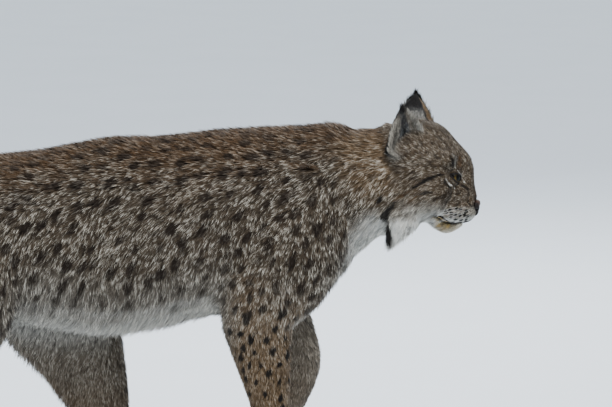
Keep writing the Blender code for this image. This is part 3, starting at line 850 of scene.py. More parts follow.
class Spots:
    # Seeds sown over the body, each an oval that lies along the coat
    def __init__(self, pelt, lay):
        dice = np.random.default_rng(19)
        apart, long, wide = (pelt.blend(spotPlan[key]) for key in ("apart", "long", "wide"))
        able = np.flatnonzero(pelt.share("head", "ruff", *earNames) < 0.3)
        kept = []
        places = np.full((spotPlan["most"], 3), 99.0)
        for i in dice.permutation(able)[:spotPlan["tries"]]:
            gap = np.linalg.norm(places[:len(kept)] - pelt.points[i], axis=1)
            if len(kept) == 0 or gap.min() > apart[i]:
                places[len(kept)] = pelt.points[i]
                kept.append(i)
        self.places = pelt.points[kept]
        self.lies = lay[kept]
        luck = dice.uniform(*spotPlan["size"], len(kept))
        self.long = long[kept] * luck * dice.uniform(*spotPlan["longer"], len(kept))
        self.wide = wide[kept] * luck
        self.dark = dice.uniform(*spotPlan["dark"], len(kept))
        self.tree = KDTree(len(kept))
        for i, place in enumerate(self.places.tolist()):
            self.tree.insert(place, i)
        self.tree.balance()
        print("spots sown:", len(kept))

    def at(self, points, normals):
        nearest = np.array([self.tree.find(place)[1] for place in points.tolist()])
        away = flatTo(points - self.places[nearest], normals)
        lies = self.lies[nearest]
        forwards = (away * lies).sum(1)
        sideways = np.linalg.norm(away - lies * forwards[:, None], axis=1)
        reach = np.hypot(forwards / self.long[nearest], sideways / self.wide[nearest])
        reach += spotPlan["raggedness"] * cloud(points, spotPlan["raggedSize"], 61)
        return smoothStep(1.18, 0.85, reach) * self.dark[nearest]


# The face's drawn marks: colour, half width, strength, and the line on the left half of the face
facePlan = [
    ("black", 0.0026, 0.98, [(-0.006, 0.047, 0.007), (-0.019, 0.055, 0.009), (-0.034, 0.060, 0.004),
                             (-0.048, 0.066, -0.004), (-0.062, 0.070, -0.012)]),
    ("rust", 0.0030, 1.0, [(-0.060, 0.069, -0.011), (-0.072, 0.071, -0.019), (-0.086, 0.071, -0.028)]),
    ("black", 0.0017, 0.55, [(-0.060, 0.069, -0.011), (-0.072, 0.071, -0.019), (-0.084, 0.071, -0.027)]),
    ("black", 0.0018, 0.7, [(-0.030, 0.067, -0.016), (-0.040, 0.071, -0.017), (-0.049, 0.073, -0.019)]),
    ("rust", 0.0028, 1.0, [(-0.049, 0.073, -0.019), (-0.066, 0.075, -0.032), (-0.083, 0.077, -0.046)]),
    ("black", 0.0018, 0.6, [(-0.056, 0.074, -0.025), (-0.066, 0.075, -0.032), (-0.083, 0.077, -0.046)]),
    ("white", 0.0025, 1.0, [(0.009, 0.033, 0.013), (0.0140, 0.027, 0.003), (0.0170, 0.023, -0.008)]),
    ("white", 0.0012, 0.9, [(-0.010, 0.049, 0.004), (-0.003, 0.044, -0.009), (0.007, 0.035, -0.016)]),
    ("white", 0.0020, 0.9, [(0.003, 0.038, -0.014), (0.009, 0.033, -0.017)]),
    ("black", 0.0016, 0.9, [(-0.013, 0.051, 0.001), (-0.007, 0.047, -0.010), (-0.002, 0.043, -0.015)]),
    ("black", 0.0017, 0.9, [(-0.006, 0.047, 0.007), (0.002, 0.041, 0.012), (0.009, 0.033, 0.006),
                            (0.013, 0.028, -0.006)]),
    ("black", 0.0024, 0.85, [(0.012, 0.028, -0.011), (0.0165, 0.024, -0.015), (0.023, 0.020, -0.020)]),
    ("black", 0.0018, 0.55, [(0.021, 0.021, -0.019), (0.022, 0.020, -0.030), (0.022, 0.021, -0.040)]),
    ("black", 0.0022, 0.9, [(0.020, 0.022, -0.041), (0.027, 0.023, -0.048)]),
    ("pale", 0.0042, 1.0, [(0.001, 0.041, 0.038), (0.004, 0.040, 0.028), (0.007, 0.036, 0.017)]),
    ("black", 0.0019, 0.9, [(-0.003, 0.046, 0.037), (-0.001, 0.047, 0.028), (0.003, 0.043, 0.019)]),
    ("spot", 0.0034, 0.9, [(-0.002, 0.046, 0.022), (0.004, 0.042, 0.018)]),
    ("rust", 0.0038, 1.0, [(0.011, 0.027, 0.030), (0.0125, 0.027, 0.020), (0.0135, 0.026, 0.012)]),
    ("spot", 0.0018, 0.8, [(0.012, 0.026, 0.018), (0.0135, 0.025, 0.012)]),
    ("rust", 0.0060, 0.8, [(0.028, 0.006, -0.030), (0.034, 0.006, -0.042)]),
    ("white", 0.0026, 0.9, [(0.033, 0.006, -0.0610), (0.029, 0.018, -0.0615), (0.020, 0.027, -0.0630),
                            (0.004, 0.033, -0.0640)]),
    ("gold", 0.0066, 0.75, [(-0.029, 0.052, -0.0620), (-0.022, 0.038, -0.0740), (-0.008, 0.026, -0.0780)]),
    ("pale", 0.0022, 0.8, [(-0.080, 0.055, 0.103), (-0.069, 0.050, 0.095), (-0.056, 0.043, 0.086),
                           (-0.048, 0.039, 0.078), (-0.046, 0.037, 0.069)]),
    # A dark stroke just in front of the ear's front edge: painted shadow where the ear stands off the head
    ("spot", 0.0024, 0.85, [(-0.052, 0.040, 0.088), (-0.042, 0.036, 0.078), (-0.040, 0.036, 0.068)]),
    ("ruffBlack", 0.0088, 1.0, [(-0.086, 0.071, -0.034), (-0.103, 0.069, -0.056), (-0.098, 0.074, -0.072),
                                (-0.093, 0.078, -0.098)]),
    ("black", 0.0050, 1.0, [(-0.104, 0.074, -0.021), (-0.111, 0.073, -0.030)]),
]

# Places of the dark dots at the roots of the whiskers
whiskerDots = [
    (-0.012, 0.042, -0.049), (-0.005, 0.039, -0.049), (0.005, 0.037, -0.049), (0.011, 0.035, -0.050),
    (0.019, 0.033, -0.053), (-0.009, 0.041, -0.053), (-0.002, 0.039, -0.054), (0.004, 0.038, -0.056),
    (0.010, 0.037, -0.057), (0.016, 0.034, -0.057), (0.021, 0.033, -0.059), (-0.002, 0.039, -0.060),
    (0.004, 0.036, -0.0625), (0.012, 0.033, -0.0635), (0.019, 0.031, -0.0635),
]


# The streaks on the crown, how much the strokes narrow at their ends, and the dark lower lip's height
markPlan = {"crownStreak": 0.011, "taper": 0.5, "lowerLip": 0.0062}


def raiseMark(masks, name, share):
    masks[name] = np.maximum(masks[name], share)


def markBody(points, normals, share, masks):
    x, y, z = points.T
    inward = -np.sign(y) * normals[:, 1]
    trunk = share("trunk", "thigh", "shoulder", "neck")
    limbs = share("leg", "paw", "raisedPaw")
    tail = share("tail")
    wander = cloud(points, 0.05, 11)
    fine = cloud(points, 0.018, 23)

    # Rusty ridge along the back, and warm patches behind the ear and the elbow
    rust = trunk * smoothStep(0.30, 1.0, normals[:, 2] + 0.16 * wander + 0.10 * fine) * 0.9
    rust = np.maximum(rust, tail * smoothStep(0.2, 0.9, normals[:, 2] - normals[:, 0]) * 0.35)
    face = toFace(points)
    behindEar = np.linalg.norm(face - [-0.130, -0.045, 0.02], axis=1)
    tan = share("neck") * smoothStep(0.075, 0.03, behindEar) * 0.9
    rightFore = smoothStep(0.08, 0.13, x) * smoothStep(0.0, -0.02, y)
    foreleg = (share("leg") + share("shoulder") * smoothStep(0.42, 0.34, z)) * rightFore
    tan = np.maximum(tan, foreleg * 0.95)
    tan = np.maximum(tan, limbs * (0.42 + 0.25 * wander))
    tan = np.maximum(tan, share("thigh") * smoothStep(0.36, 0.26, z) * 0.7)
    elbow = nearness(points, (0.135, -0.09, 0.375), (0.035, 0.06, 0.05))
    tan = np.maximum(tan, elbow * trunk)

    # Paler downwards, white under the belly, inside the legs and on the throat
    pale = trunk * smoothStep(0.46, 0.33, z + 0.02 * wander) * smoothStep(0.75, 0.0, normals[:, 2]) * 0.8
    pale *= (1 - 0.8 * rightFore * share("shoulder", "leg")) * (1 - 0.7 * share("thigh"))
    pale = np.maximum(pale, trunk * smoothStep(-0.35, -0.8, normals[:, 2]))
    inside = smoothStep(0.35, 0.85, inward) * smoothStep(0.20, 0.36, z)
    pale = np.maximum(pale, (share("shoulder", "thigh") + 0.5 * share("leg")) * inside * 0.9)
    pale = np.maximum(pale, share("paw", "raisedPaw") * 0.38)
    white = trunk * smoothStep(-0.45, -0.95, normals[:, 2]) * smoothStep(0.30, 0.0, abs(x + 0.05)) * 0.45
    groin = smoothStep(0.6, 0.95, inward) * smoothStep(0.27, 0.35, z)
    white = np.maximum(white, share("thigh") * groin * 0.7)
    rear = share("leg", "thigh") * smoothStep(0.2, 0.8, -normals[:, 0]) * smoothStep(-0.10, -0.20, x)
    tan = np.maximum(tan, rear * 0.8)
    rust = np.maximum(rust, rear * smoothStep(0.34, 0.24, z) * 0.35)
    throat = smoothStep(-0.2, -0.75, normals[:, 2] - 0.3 * normals[:, 0])
    white = np.maximum(white, share("neck") * throat * 0.8)

    # Spots: long and brown on the flanks, small and black on the legs, few on the belly
    body = share("trunk", "thigh", "shoulder", "neck", "leg", "paw", "raisedPaw")
    oval = spots.at(points, normals) * np.clip(body, 0, 1)
    oval *= smoothStep(0.75, 0.2, inward) * smoothStep(-0.85, -0.35, normals[:, 2])
    oval *= 1 - 0.45 * smoothStep(0.75, 0.98, normals[:, 2])
    low = smoothStep(0.40, 0.33, z)
    oval *= 1 - 0.55 * low * share("trunk")
    oval *= 1 - 0.5 * share("neck")
    hindOrFar = limbs * (1 - rightFore)
    # The far foreleg lies in shade; it is painted paler and more tan, as painted light
    farForePaintedLight = share("leg", "shoulder") * smoothStep(0.05, 0.10, x) * smoothStep(0.0, 0.02, y)
    farForePaintedLight *= smoothStep(0.42, 0.34, z)
    tan = np.maximum(tan, farForePaintedLight * 0.9)
    pale = np.maximum(pale, farForePaintedLight * 0.50)
    oval *= 1 - 0.45 * hindOrFar
    blacker = np.clip(0.85 * foreleg + 0.4 * low + 0.3 * limbs, 0, 1)
    mottle = smoothStep(0.2, 0.7, cloud(points / np.array([1.5, 1.0, 1.0]), 0.0085, 43))
    mottle *= share("trunk", "thigh", "shoulder") * smoothStep(0.36, 0.46, z)
    masks.update(rust=rust, tan=tan, pale=pale, white=white)
    masks["spot"] = np.maximum(oval * (1 - blacker * 0.6), 0.55 * mottle)
    # The furrows between the toes painted dark: painted shade between the toes
    raiseMark(masks, "spot", toeFurrows(points, share("paw", "raisedPaw")) * pawPlan["dark"])
    masks["black"] = np.maximum(oval * blacker, tail * smoothStep(0.452, 0.436, z + 0.006 * fine))


def markHead(points, normals, share, masks):
    # Stripes, pale rings, black lips, whisker dots, ruffs, and streaks on the crown
    face = toFace(points)
    flip = np.ones_like(face)
    flip[:, 1] = np.where(face[:, 1] < 0, -1.0, 1.0)
    mirrored = face * flip
    facing = (normals @ headAxes) * flip
    head = np.clip(share("head", "ruff") + share("neck") * 0.9, 0, 1)
    own = share("head", "ruff")
    fine = cloud(points, 0.010, 23)

    muzzle = smoothStep(0.0, 0.02, face[:, 0]) * smoothStep(-0.02, -0.04, face[:, 2])
    cream = smoothStep(-0.022, -0.045, face[:, 2] + 0.005 * fine) * smoothStep(-0.006, -0.03, face[:, 0])
    raiseMark(masks, "pale", own * cream * 0.9)
    under = smoothStep(-0.050, -0.066, face[:, 2] + 0.003 * fine) * smoothStep(-0.014, -0.034, face[:, 0])
    under *= smoothStep(-0.150, -0.115, face[:, 0])
    throat = smoothStep(-0.15, -0.75, facing[:, 2] - 0.3 * facing[:, 0])
    throat *= smoothStep(-0.155, -0.11, face[:, 0])
    low = smoothStep(-0.035, -0.060, face[:, 2])
    raiseMark(masks, "white", head * np.maximum(under, throat) * low)
    chin = smoothStep(-0.0695, -0.0735, face[:, 2]) * smoothStep(-0.035, -0.02, face[:, 0])
    masks["cream"] = own * chin * 0.45
    raiseMark(masks, "tan", own * muzzle * 0.45)
    raiseMark(masks, "tan", own * 0.25)
    pads = smoothStep(-0.043, -0.050, face[:, 2]) * smoothStep(-0.018, -0.005, face[:, 0])
    raiseMark(masks, "pale", own * pads * 0.75)
    streak = smoothStep(0.30, 0.12, abs((face[:, 1] / markPlan["crownStreak"] + 40.5) % 1 - 0.5))
    broken = smoothStep(-0.1, 0.3, cloud(face * np.array([1, 2.5, 1]), 0.014, 71))
    crown = smoothStep(0.030, 0.045, face[:, 2]) * smoothStep(-0.09, -0.05, face[:, 0])
    raiseMark(masks, "spot", own * streak * broken * crown * 0.95)
    mottle = smoothStep(0.15, 0.6, cloud(face / [1.6, 1.0, 1.0], 0.0042, 93))
    raiseMark(masks, "spot", own * mottle * (1 - 0.8 * pads) * 0.62)

    for colour, width, strength, line in facePlan:
        away, along = toLine(mirrored, line, facing)
        taper = 1 - markPlan["taper"] * abs(2 * along - 1)
        if colour == "ruffBlack":
            taper = 0.35 + 0.8 * np.sin(np.pi * np.clip(along, 0, 1) ** 1.3)
            away = away + 0.0016 * cloud(face * [1, 1, 0.3], 0.0035, 57)
        reach = width * taper
        stroke = head * strength * smoothStep(reach * 1.25, reach * 0.7, away + 0.0010 * fine)
        if colour == "ruffBlack":
            masks["white"] *= 1 - stroke
            colour = "black"
        if colour in ("white", "pale"):
            for other in ("black", "spot", "rust", "tan"):
                masks[other] = masks[other] * (1 - stroke)
        raiseMark(masks, colour, stroke)

    # The black lips, the dark lower lip and the dots at the whiskers' roots
    lips, _ = toLine(mirrored, mouthLine, facing)
    forwards, _, heights = np.array(mouthLine)[::-1].T
    below = np.interp(face[:, 0], forwards, heights) - face[:, 2] + 0.0008 * fine
    high = markPlan["lowerLip"]
    lowerLip = smoothStep(-0.0005, 0.0005, below) * smoothStep(high * 1.15, high * 0.85, below)
    lowerLip *= smoothStep(forwards[0] - 0.004, forwards[0] + 0.002, face[:, 0])
    dark = np.maximum(smoothStep(0.0030, 0.0018, lips), lowerLip)
    raiseMark(masks, "black", own * dark)
    for place in whiskerDots:
        away = np.linalg.norm(flatTo(mirrored - place, facing) / [1.25, 1.0, 1.0], axis=1)
        raiseMark(masks, "black", own * smoothStep(0.0025, 0.0018, away))


def markEars(points, normals, shares, masks):
    # Black rims and tip with a grey patch behind; grey, slit and creamy-edged inside
    face = toFace(points)
    turned = normals @ headAxes
    fine = cloud(points, 0.008, 29)
    for name in earNames:
        ear = np.clip(shares[:, regionIndex[name]] * 1.4, 0, 1)
        root, axis, facing, across = earFrame(name)
        local = face - root
        up = local @ axis / earPlan["length"] + 0.02 * fine
        halfWidth = earPlan["halfWidth"] * np.clip(1 - np.clip(up, 0, 0.999) ** 1.5, 0, 1) ** 0.85 + 1e-4
        ahead = local @ across / halfWidth + 0.10 * fine
        inner = smoothStep(0.05, 0.5, turned @ facing)
        outer = 1 - inner
        tip = smoothStep(0.84, 0.90, up) if name == "earLeft" else smoothStep(0.90, 0.95, up)
        side = smoothStep(0.60, 0.78, abs(ahead)) * smoothStep(0.1, 0.3, up)
        blackBack = np.maximum(smoothStep(0.56, 0.76, up), side)
        tanEdge = smoothStep(0.70, 0.86, ahead) * smoothStep(0.95, 0.85, up)
        slit = np.exp(-((ahead + 0.18 + 0.25 * (up - 0.3)) / 0.17) ** 2) * smoothStep(0.68, 0.52, up)
        blackIn = np.maximum(np.maximum(slit * 0.95, tip), 0.35 * smoothStep(0.35, 0.0, abs(ahead + 0.25)))
        creamEdge = smoothStep(-0.62, -0.80, ahead) * smoothStep(0.92, 0.80, up)
        frontEdge = smoothStep(0.55, 0.75, ahead) * smoothStep(0.10, 0.25, up)
        paleInside = np.maximum(creamEdge * 0.8, frontEdge)
        paleInside = np.maximum(paleInside, 0.08 + 0.42 * smoothStep(0.05, 0.35, ahead))
        drawn = {
            "black": np.where(inner > 0.5, blackIn * (1 - creamEdge), blackBack * (1 - tanEdge) * 0.97),
            "tan": np.maximum(tanEdge, inner * smoothStep(0.0, 0.4, ahead) * 0.40),
            "pale": np.maximum(inner * paleInside, outer * (1 - blackBack) * 0.45),
            "spot": inner * 0.45 * smoothStep(0.0, 0.5, fine) * (1 - creamEdge),
            "rust": creamEdge * inner * 0.25,
            "white": 0.0,
        }
        for colour, value in drawn.items():
            masks[colour] = mixed(masks[colour], value, ear)
        greyInside = inner * (1 - creamEdge) * smoothStep(0.5, 0.0, ahead)
        raiseMark(masks, "grey", ear * np.maximum(outer, greyInside))


def markings(points, normals, shares):
    # Shares from 0 to 1 of each colour of the coat, in the order the material mixes them
    def share(*names):
        return sum(shares[:, regionIndex[name]] for name in names)

    masks = {name: np.zeros(len(points)) for name in
             ("rust", "tan", "pale", "white", "spot", "black", "frost", "cream", "grey", "gold")}
    if share("head", "ruff", *earNames).min() < 0.98:
        markBody(points, normals, share, masks)
    if share("head", "ruff").max() > 0.02:
        markHead(points, normals, share, masks)
    if share(*earNames).max() > 0.02:
        markEars(points, normals, shares, masks)
    masks["frost"] = share("trunk", "neck", "thigh", "shoulder") + 0.8 * share("head", "ruff")
    masks["frost"] += 0.45 * share("leg", "paw", "raisedPaw") + 0.5 * share(*earNames)
    return {name: np.clip(mask, 0, 1) for name, mask in masks.items()}


# Colours of the coat, and how much light reaches the hairs' roots
coatColours = {
    "ground": (0.086, 0.064, 0.043), "rust": (0.105, 0.058, 0.026), "tan": (0.155, 0.102, 0.056),
    "pale": (0.290, 0.272, 0.238), "white": (0.590, 0.585, 0.550), "grey": (0.085, 0.089, 0.094),
    "cream": (0.560, 0.450, 0.270), "gold": (0.520, 0.370, 0.130),
    "spot": (0.022, 0.0135, 0.0082), "black": (0.008, 0.0065, 0.006),
    "root": 0.26, "frost": (0.530, 0.500, 0.435),
}


def coatMaterial(name, overSkin):
    finish, shader = newMaterial(name, Roughness=0.62, Specular_IOR_Level=0.22, Sheen_Weight=0.12,
                                 Sheen_Roughness=0.5)
    rust, tan, pale = split(attribute("marksA"))
    white = attribute("marksA", "Alpha")
    spot, black, frost = split(attribute("marksB"))
    cream = attribute("marksB", "Alpha")
    along, luck, grey = split(attribute("hair"))
    gold = attribute("hair", "Alpha")
    tone = coatColours
    colour = tinted(tone["ground"], tone["grey"], grey)
    for share, key in ((rust, "rust"), (tan, "tan"), (pale, "pale"), (white, "white"), (cream, "cream"),
                       (gold, "gold")):
        colour = tinted(colour, tone[key], share)
    pepper = (1 - luck.between(0.06, 0.34)) * frost * (1 - white) * (1 - pale * 0.5) * 0.75
    colour = tinted(colour, tone["spot"], pepper.held())
    tips = along.between(0.30, 0.90) * luck.between(0.52, 0.76) * frost * (1 - rust * 0.65) * (1 - gold)
    colour = tinted(colour, tone["frost"], (tips * 0.85).held())
    colour = tinted(colour, tone["spot"], (spot * (0.97 - tips * 0.15)).held())
    colour = tinted(colour, tone["black"], (black * 0.97).held())
    shade = along.between(-0.15, 0.60) * (1 - tone["root"]) + tone["root"]
    # Tufts of low luck are darker: partly their own random tone, partly painted shade at their clump's
    # edge
    shade = shade * (luck * 0.90 + 0.50)
    if overSkin:
        grain = grainOf(900.0)
        shade = shade * (grain * 0.5 + 0.35)
        feed(shader, "Normal", bumped(grain, 0.0008))
    feed(shader, "Base Color", darkened(colour, shade))
    return finish


def storeMarks(mesh, marks, along, luck):
    sets = {"marksA": [marks[name] for name in ("rust", "tan", "pale", "white")],
            "marksB": [marks[name] for name in ("spot", "black", "frost", "cream")],
            "hair": [along, luck, marks["grey"], marks["gold"]]}
    for name, columns in sets.items():
        layer = mesh.attributes.new(name, 'FLOAT_COLOR', 'POINT')
        layer.data.foreach_set("color", np.stack(columns, 1).astype(np.float32).ravel())


def unwrapRegions(pelt, chosen):
    # Lays each coat piece's share of the skin flat on a map of its own, filling the square
    mesh = pelt.skin.data
    alone(pelt.skin)
    mesh.uv_layers.new(name="coatMap")
    for faces in chosen:
        selectFaces(pelt.skin, faces)
        bpy.ops.uv.smart_project(angle_limit=math.radians(70), island_margin=0.002)
        bpy.ops.object.mode_set(mode='OBJECT')
    flat = np.empty(len(mesh.loops) * 2, np.float32)
    mesh.uv_layers["coatMap"].data.foreach_get("uv", flat)
    return flat.reshape(-1, 3, 2)


# Tufts: each row has how far along the tuft it is, its share of the width, and its share of the rise
tuftPlan = {
    "most": 99000, "patch": 0.003, "clumping": 0.62, "sink": 0.0010, "sinkShare": 0.06, "widest": 1.5,
    "stray": 0.13, "clumpStray": 0.6, "wander": 0.28, "wanderSize": 0.022, "roll": 0.55,
    "rollMost": 1.2, "softness": 0.55, "seen": 0.6, "lowest": 0.0003,
    "long": (0.72, 1.12), "wide": (0.75, 1.25), "rise": (0.6, 1.35),
    "rows": ((0.0, 0.0, 0.0), (0.45, 1.0, 0.62), (1.0, 0.0, 1.0)),
    "clump": 0.0034,
    "clumps": {"coatLegs": 0.0024, "coatPaws": 0.0024, "coatHeadRight": 0.0024, "coatHeadLeft": 0.0024,
               "coatFaceRight": 0.0017, "coatFaceLeft": 0.0017, "coatEars": 0.0017},
}


def tuftMesh(name, points, triangles):
    mesh = bpy.data.meshes.new(name)
    mesh.vertices.add(len(points))
    mesh.vertices.foreach_set("co", points.astype(np.float32).ravel())
    mesh.loops.add(triangles.size)
    mesh.loops.foreach_set("vertex_index", triangles.astype(np.int32).ravel())
    mesh.polygons.add(len(triangles))
    mesh.polygons.foreach_set("loop_start", np.arange(0, triangles.size, 3, dtype=np.int32))
    mesh.update(calc_edges=True)
    return mesh


def mapTufts(mesh, places, triangles):
    # Each tuft is a small diamond on its piece's map, where its root lies
    patch = tuftPlan["patch"]
    offsets = np.array([[0.0, -0.5], [-0.5, 0.0], [0.5, 0.0], [0.0, 0.5]]) * patch
    spread = np.clip(places, patch, 1 - patch)[:, None, :] + offsets
    layer = mesh.uv_layers.new(name="OFBake")
    layer.data.foreach_set("uv", spread.reshape(-1, 2)[triangles.ravel()].astype(np.float32).ravel())


def sproutTufts(name, pelt, faces, coat, maps, seed):
    # One coat piece: many tapering tufts rooted over the chosen faces
    dice = np.random.default_rng(seed)
    triangles = pelt.triangles[faces]
    corners = pelt.points[triangles]
    sides = np.cross(corners[:, 1] - corners[:, 0], corners[:, 2] - corners[:, 0])
    areas = np.linalg.norm(sides, axis=1) / 2
    chances = areas * coat["density"][triangles].mean(1)
    wanted = chances.sum()
    count = int(min(wanted, tuftPlan["most"]))
    picks = dice.choice(len(triangles), count, p=chances / wanted)
    a, b = dice.random(count), dice.random(count)
    flip = a + b > 1
    a, b = np.where(flip, 1 - a, a), np.where(flip, 1 - b, b)
    weights = np.stack([1 - a - b, a, b], 1)

    def at(values):
        corner = values[triangles[picks]]
        return (corner * (weights if corner.ndim == 2 else weights[..., None])).sum(1)

    roots = at(pelt.points)
    normals = unit(at(pelt.normals))
    shares = at(pelt.shares)
    direction = unit(flatTo(at(pelt.lay), normals))
    across = np.cross(normals, direction)
    long = at(coat["length"]) * dice.uniform(*tuftPlan["long"], count)
    wide = at(coat["width"]) * dice.uniform(*tuftPlan["wide"], count)
    if wanted > count:
        wide *= min((wanted / count) ** 0.5, tuftPlan["widest"])
    rise = at(coat["lift"]) * dice.uniform(*tuftPlan["rise"], count)
    clump = tuftPlan["clumps"].get(name, tuftPlan["clump"])
    apart, seats, clumpLuck = nearestSeeds(roots, clump, 77)
    stray = dice.normal(0, tuftPlan["stray"], count) + (clumpLuck - 0.5) * tuftPlan["clumpStray"]
    stray += tuftPlan["wander"] * cloud(roots, tuftPlan["wanderSize"], 5)
    direction = unit(direction + across * stray[:, None])
    across = np.cross(normals, direction)
    pull = flatTo(seats - roots, normals) * tuftPlan["clumping"]

    sink = np.minimum(tuftPlan["sink"], long * tuftPlan["sinkShare"])[:, None]
    most = tuftPlan["rollMost"]
    roll = np.clip(dice.normal(0, tuftPlan["roll"], count), -most, most)
    blade = across * np.cos(roll)[:, None] + normals * np.sin(roll)[:, None]
    rows = []
    for step, span, rising in tuftPlan["rows"]:
        middle = roots - normals * sink * (1 - step) + direction * (long * step)[:, None] \
            + normals * (long * rise * rising)[:, None] + pull * step ** 1.5
        if span:
            half = blade * (wide * span / 2)[:, None]
            rows += [middle - half, middle + half]
        else:
            rows.append(middle)
    points = np.stack(rows, 1).reshape(-1, 3)
    points[:, 2] = np.maximum(points[:, 2], tuftPlan["lowest"])
    perTuft = len(rows)
    pattern = np.array([[0, 1, 2], [1, 3, 2]])
    drawn = (np.arange(count)[:, None, None] * perTuft + pattern).reshape(-1, 3)
    mesh = tuftMesh(name, points, drawn)

    # Each tuft's luck: random, by its clump, and higher near its clump's middle, so tufts at a clump's
    # edge are painted darker as shade in the gaps between clumps
    luck = dice.random(count) * 0.35 + 0.50 * clumpLuck + 0.15 * smoothStep(0.75, 0.25, apart)
    luck = np.repeat(luck, perTuft)
    along = np.tile(np.array([0, 0.45, 0.45, 1.0]), count)
    seen = roots + direction * (long * tuftPlan["seen"])[:, None]
    marks = {key: np.repeat(mark, perTuft) for key, mark in markings(seen, normals, shares).items()}
    storeMarks(mesh, marks, along, luck)

    mapTufts(mesh, (maps[faces][picks] * weights[..., None]).sum(1), drawn)
    facing = np.cross(direction, blade)
    facing *= np.sign((facing * normals).sum(1))[:, None]
    soft = unit(mixed(facing, normals, tuftPlan["softness"]))
    mesh.normals_split_custom_set_from_vertices(np.repeat(soft, perTuft, axis=0).astype(np.float32))
    piece = newPiece(name, mesh)
    print(name, "tufts", count, "of", int(wanted), "area", round(float(areas.sum()), 4))
    return piece


def coatRegions(pelt):
    # Which faces of the skin each coat piece grows on
    triangles = pelt.triangles
    middle = pelt.points[triangles].mean(1)
    face = toFace(middle)
    main = np.argmax(pelt.shares[triangles].mean(1), axis=1)
    names = np.array(regions)[main]
    right = middle[:, 1] < 0
    isHead = np.isin(names, ["head", "ruff"])
    front = face[:, 0] > -0.038
    trunk = names == "trunk"
    ahead = middle[:, 0] > 0.03
    behind = middle[:, 0] < -0.19
    return {
        "coatFaceRight": isHead & front & right,
        "coatFaceLeft": isHead & front & ~right,
        "coatHeadRight": isHead & ~front & right,
        "coatHeadLeft": isHead & ~front & ~right,
        "coatEars": np.isin(names, earNames),
        "coatNeck": names == "neck",
        "coatChest": trunk & ahead,
        "coatFlanks": trunk & ~ahead & ~behind,
        "coatRump": (trunk & behind) | (names == "tail"),
        "coatShoulders": names == "shoulder",
        "coatThighs": names == "thigh",
        "coatLegs": names == "leg",
        "coatPaws": np.isin(names, ["paw", "raisedPaw"]),
    }


# Soft studio light: each lamp's place, aim, size and power
lightPlan = {
    "sky": 0.92,
    "lamps": {
        "keyLamp": ((1.0, -2.2, 3.4), (0.1, 0, 0.45), 1.8, 110.0),
        "fillLamp": ((-2.4, -1.8, 1.6), (0.0, 0, 0.45), 2.4, 20.0),
        "rimLamp": ((0.4, 2.6, 2.6), (0.1, 0, 0.5), 2.0, 50.0),
    },
}


def placeLights():
    world = bpy.data.worlds.new("studio")
    bpy.context.scene.world = world
    world.use_nodes = True
    background = world.node_tree.nodes["Background"]
    background.inputs["Color"].default_value = (0.88, 0.94, 1.0, 1)
    background.inputs["Strength"].default_value = lightPlan["sky"]
    for name, (place, aim, size, power) in lightPlan["lamps"].items():
        bpy.ops.object.light_add(type='AREA', location=place)
        lamp = bpy.context.object
        lamp.name = name
        lamp.data.size = size
        lamp.data.energy = power
        lamp.rotation_euler = (Vector(aim) - Vector(place)).to_track_quat('-Z', 'Y').to_euler()
    print("lights placed")


floorPlan = {"size": 60, "height": -0.0005, "colours": ((0.80, 0.84, 0.88), (0.84, 0.88, 0.92))}


def layFloor():
    bpy.ops.mesh.primitive_plane_add(size=floorPlan["size"], location=(0, 0, floorPlan["height"]))
    floor = bpy.context.object
    floor.name = "floor"
    finish, shader = newMaterial("palePlaster", Roughness=0.9, Specular_IOR_Level=0.1)
    grain = grainOf(3.0, 3.0)
    feed(shader, "Base Color", tinted(*floorPlan["colours"], grain))
    floor.data.materials.append(finish)


# The eye's colours, the iris from the pupil outwards: an amber painted darker with the upper lid's shade
irisPlan = {
    "stops": [(0.0, (0.050, 0.033, 0.011)), (0.35, (0.100, 0.068, 0.019)), (0.75, (0.085, 0.060, 0.018)),
              (1.0, (0.020, 0.014, 0.006))],
    "pupil": (0.002, 0.002, 0.002), "edge": (0.008, 0.006, 0.004),
    "lidRim": ((0.006, 0.0045, 0.004), (0.018, 0.012, 0.010)),
}


def buildEyes():
    # An eyeball with a raised cornea, its iris drawn in the eye's own axes
    finish, shader = newMaterial("eyeball", Roughness=0.25, Coat_Weight=0.22, Coat_Roughness=0.02,
                                 Specular_IOR_Level=0.08)
    place = attribute("eyePlace", "Vector")
    _, y, z = (Wire(socket) for socket in
               Wire.node('ShaderNodeSeparateXYZ', None, Vector=place).socket.node.outputs)
    radius = Wire.maths('SQRT', y * y + z * z)
    turn = Wire.maths('ARCTAN2', z, y)
    rays = Wire.node('ShaderNodeTexNoise', {"noise_dimensions": '2D'}, output=0, Scale=6.0, Detail=3.0,
                     Vector=Wire.node('ShaderNodeCombineXYZ', None, X=turn * 3.0, Y=radius * 1.2))
    iris = Wire.node('ShaderNodeValToRGB', {"stops": irisPlan["stops"]}, Fac=radius.between(0.36, 0.76))
    iris = darkened(iris, rays * 0.9 + 0.5)
    colour = tinted(iris, irisPlan["pupil"], 1 - radius.between(0.42, 0.46))
    colour = tinted(colour, irisPlan["edge"], radius.between(0.66, 0.76))
    # The ball's upper part painted darker: the upper lid's painted shadow
    feed(shader, "Base Color", darkened(colour, 1 - z.between(-0.10, 0.34) * 0.75))
    for seat, name in zip(eyeSeats, ("left", "right")):
        bpy.ops.mesh.primitive_uv_sphere_add(segments=48, ring_count=32, radius=seat.radius)
        ball = bpy.context.object
        ball.name = "eyeball_" + name
        points = pointsOf(ball.data) / seat.radius
        local = np.stack([points[:, 2], points[:, 0], points[:, 1]], 1)
        angle = np.degrees(np.arccos(np.clip(local[:, 0], -1, 1)))
        raised = np.clip(1 - (angle / eyePlan["corneaTurn"]) ** 2, 0, 1)
        bulge = eyePlan["ball"] + eyePlan["cornea"] * raised
        setPoints(ball.data, seat.world(local, bulge))
        layer = ball.data.attributes.new("eyePlace", 'FLOAT_VECTOR', 'POINT')
        layer.data.foreach_set("vector", local.astype(np.float32).ravel())
        turnOutwards(ball)
        ball.data.materials.append(finish)
        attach(ball, "root")
        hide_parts("eye_" + name)


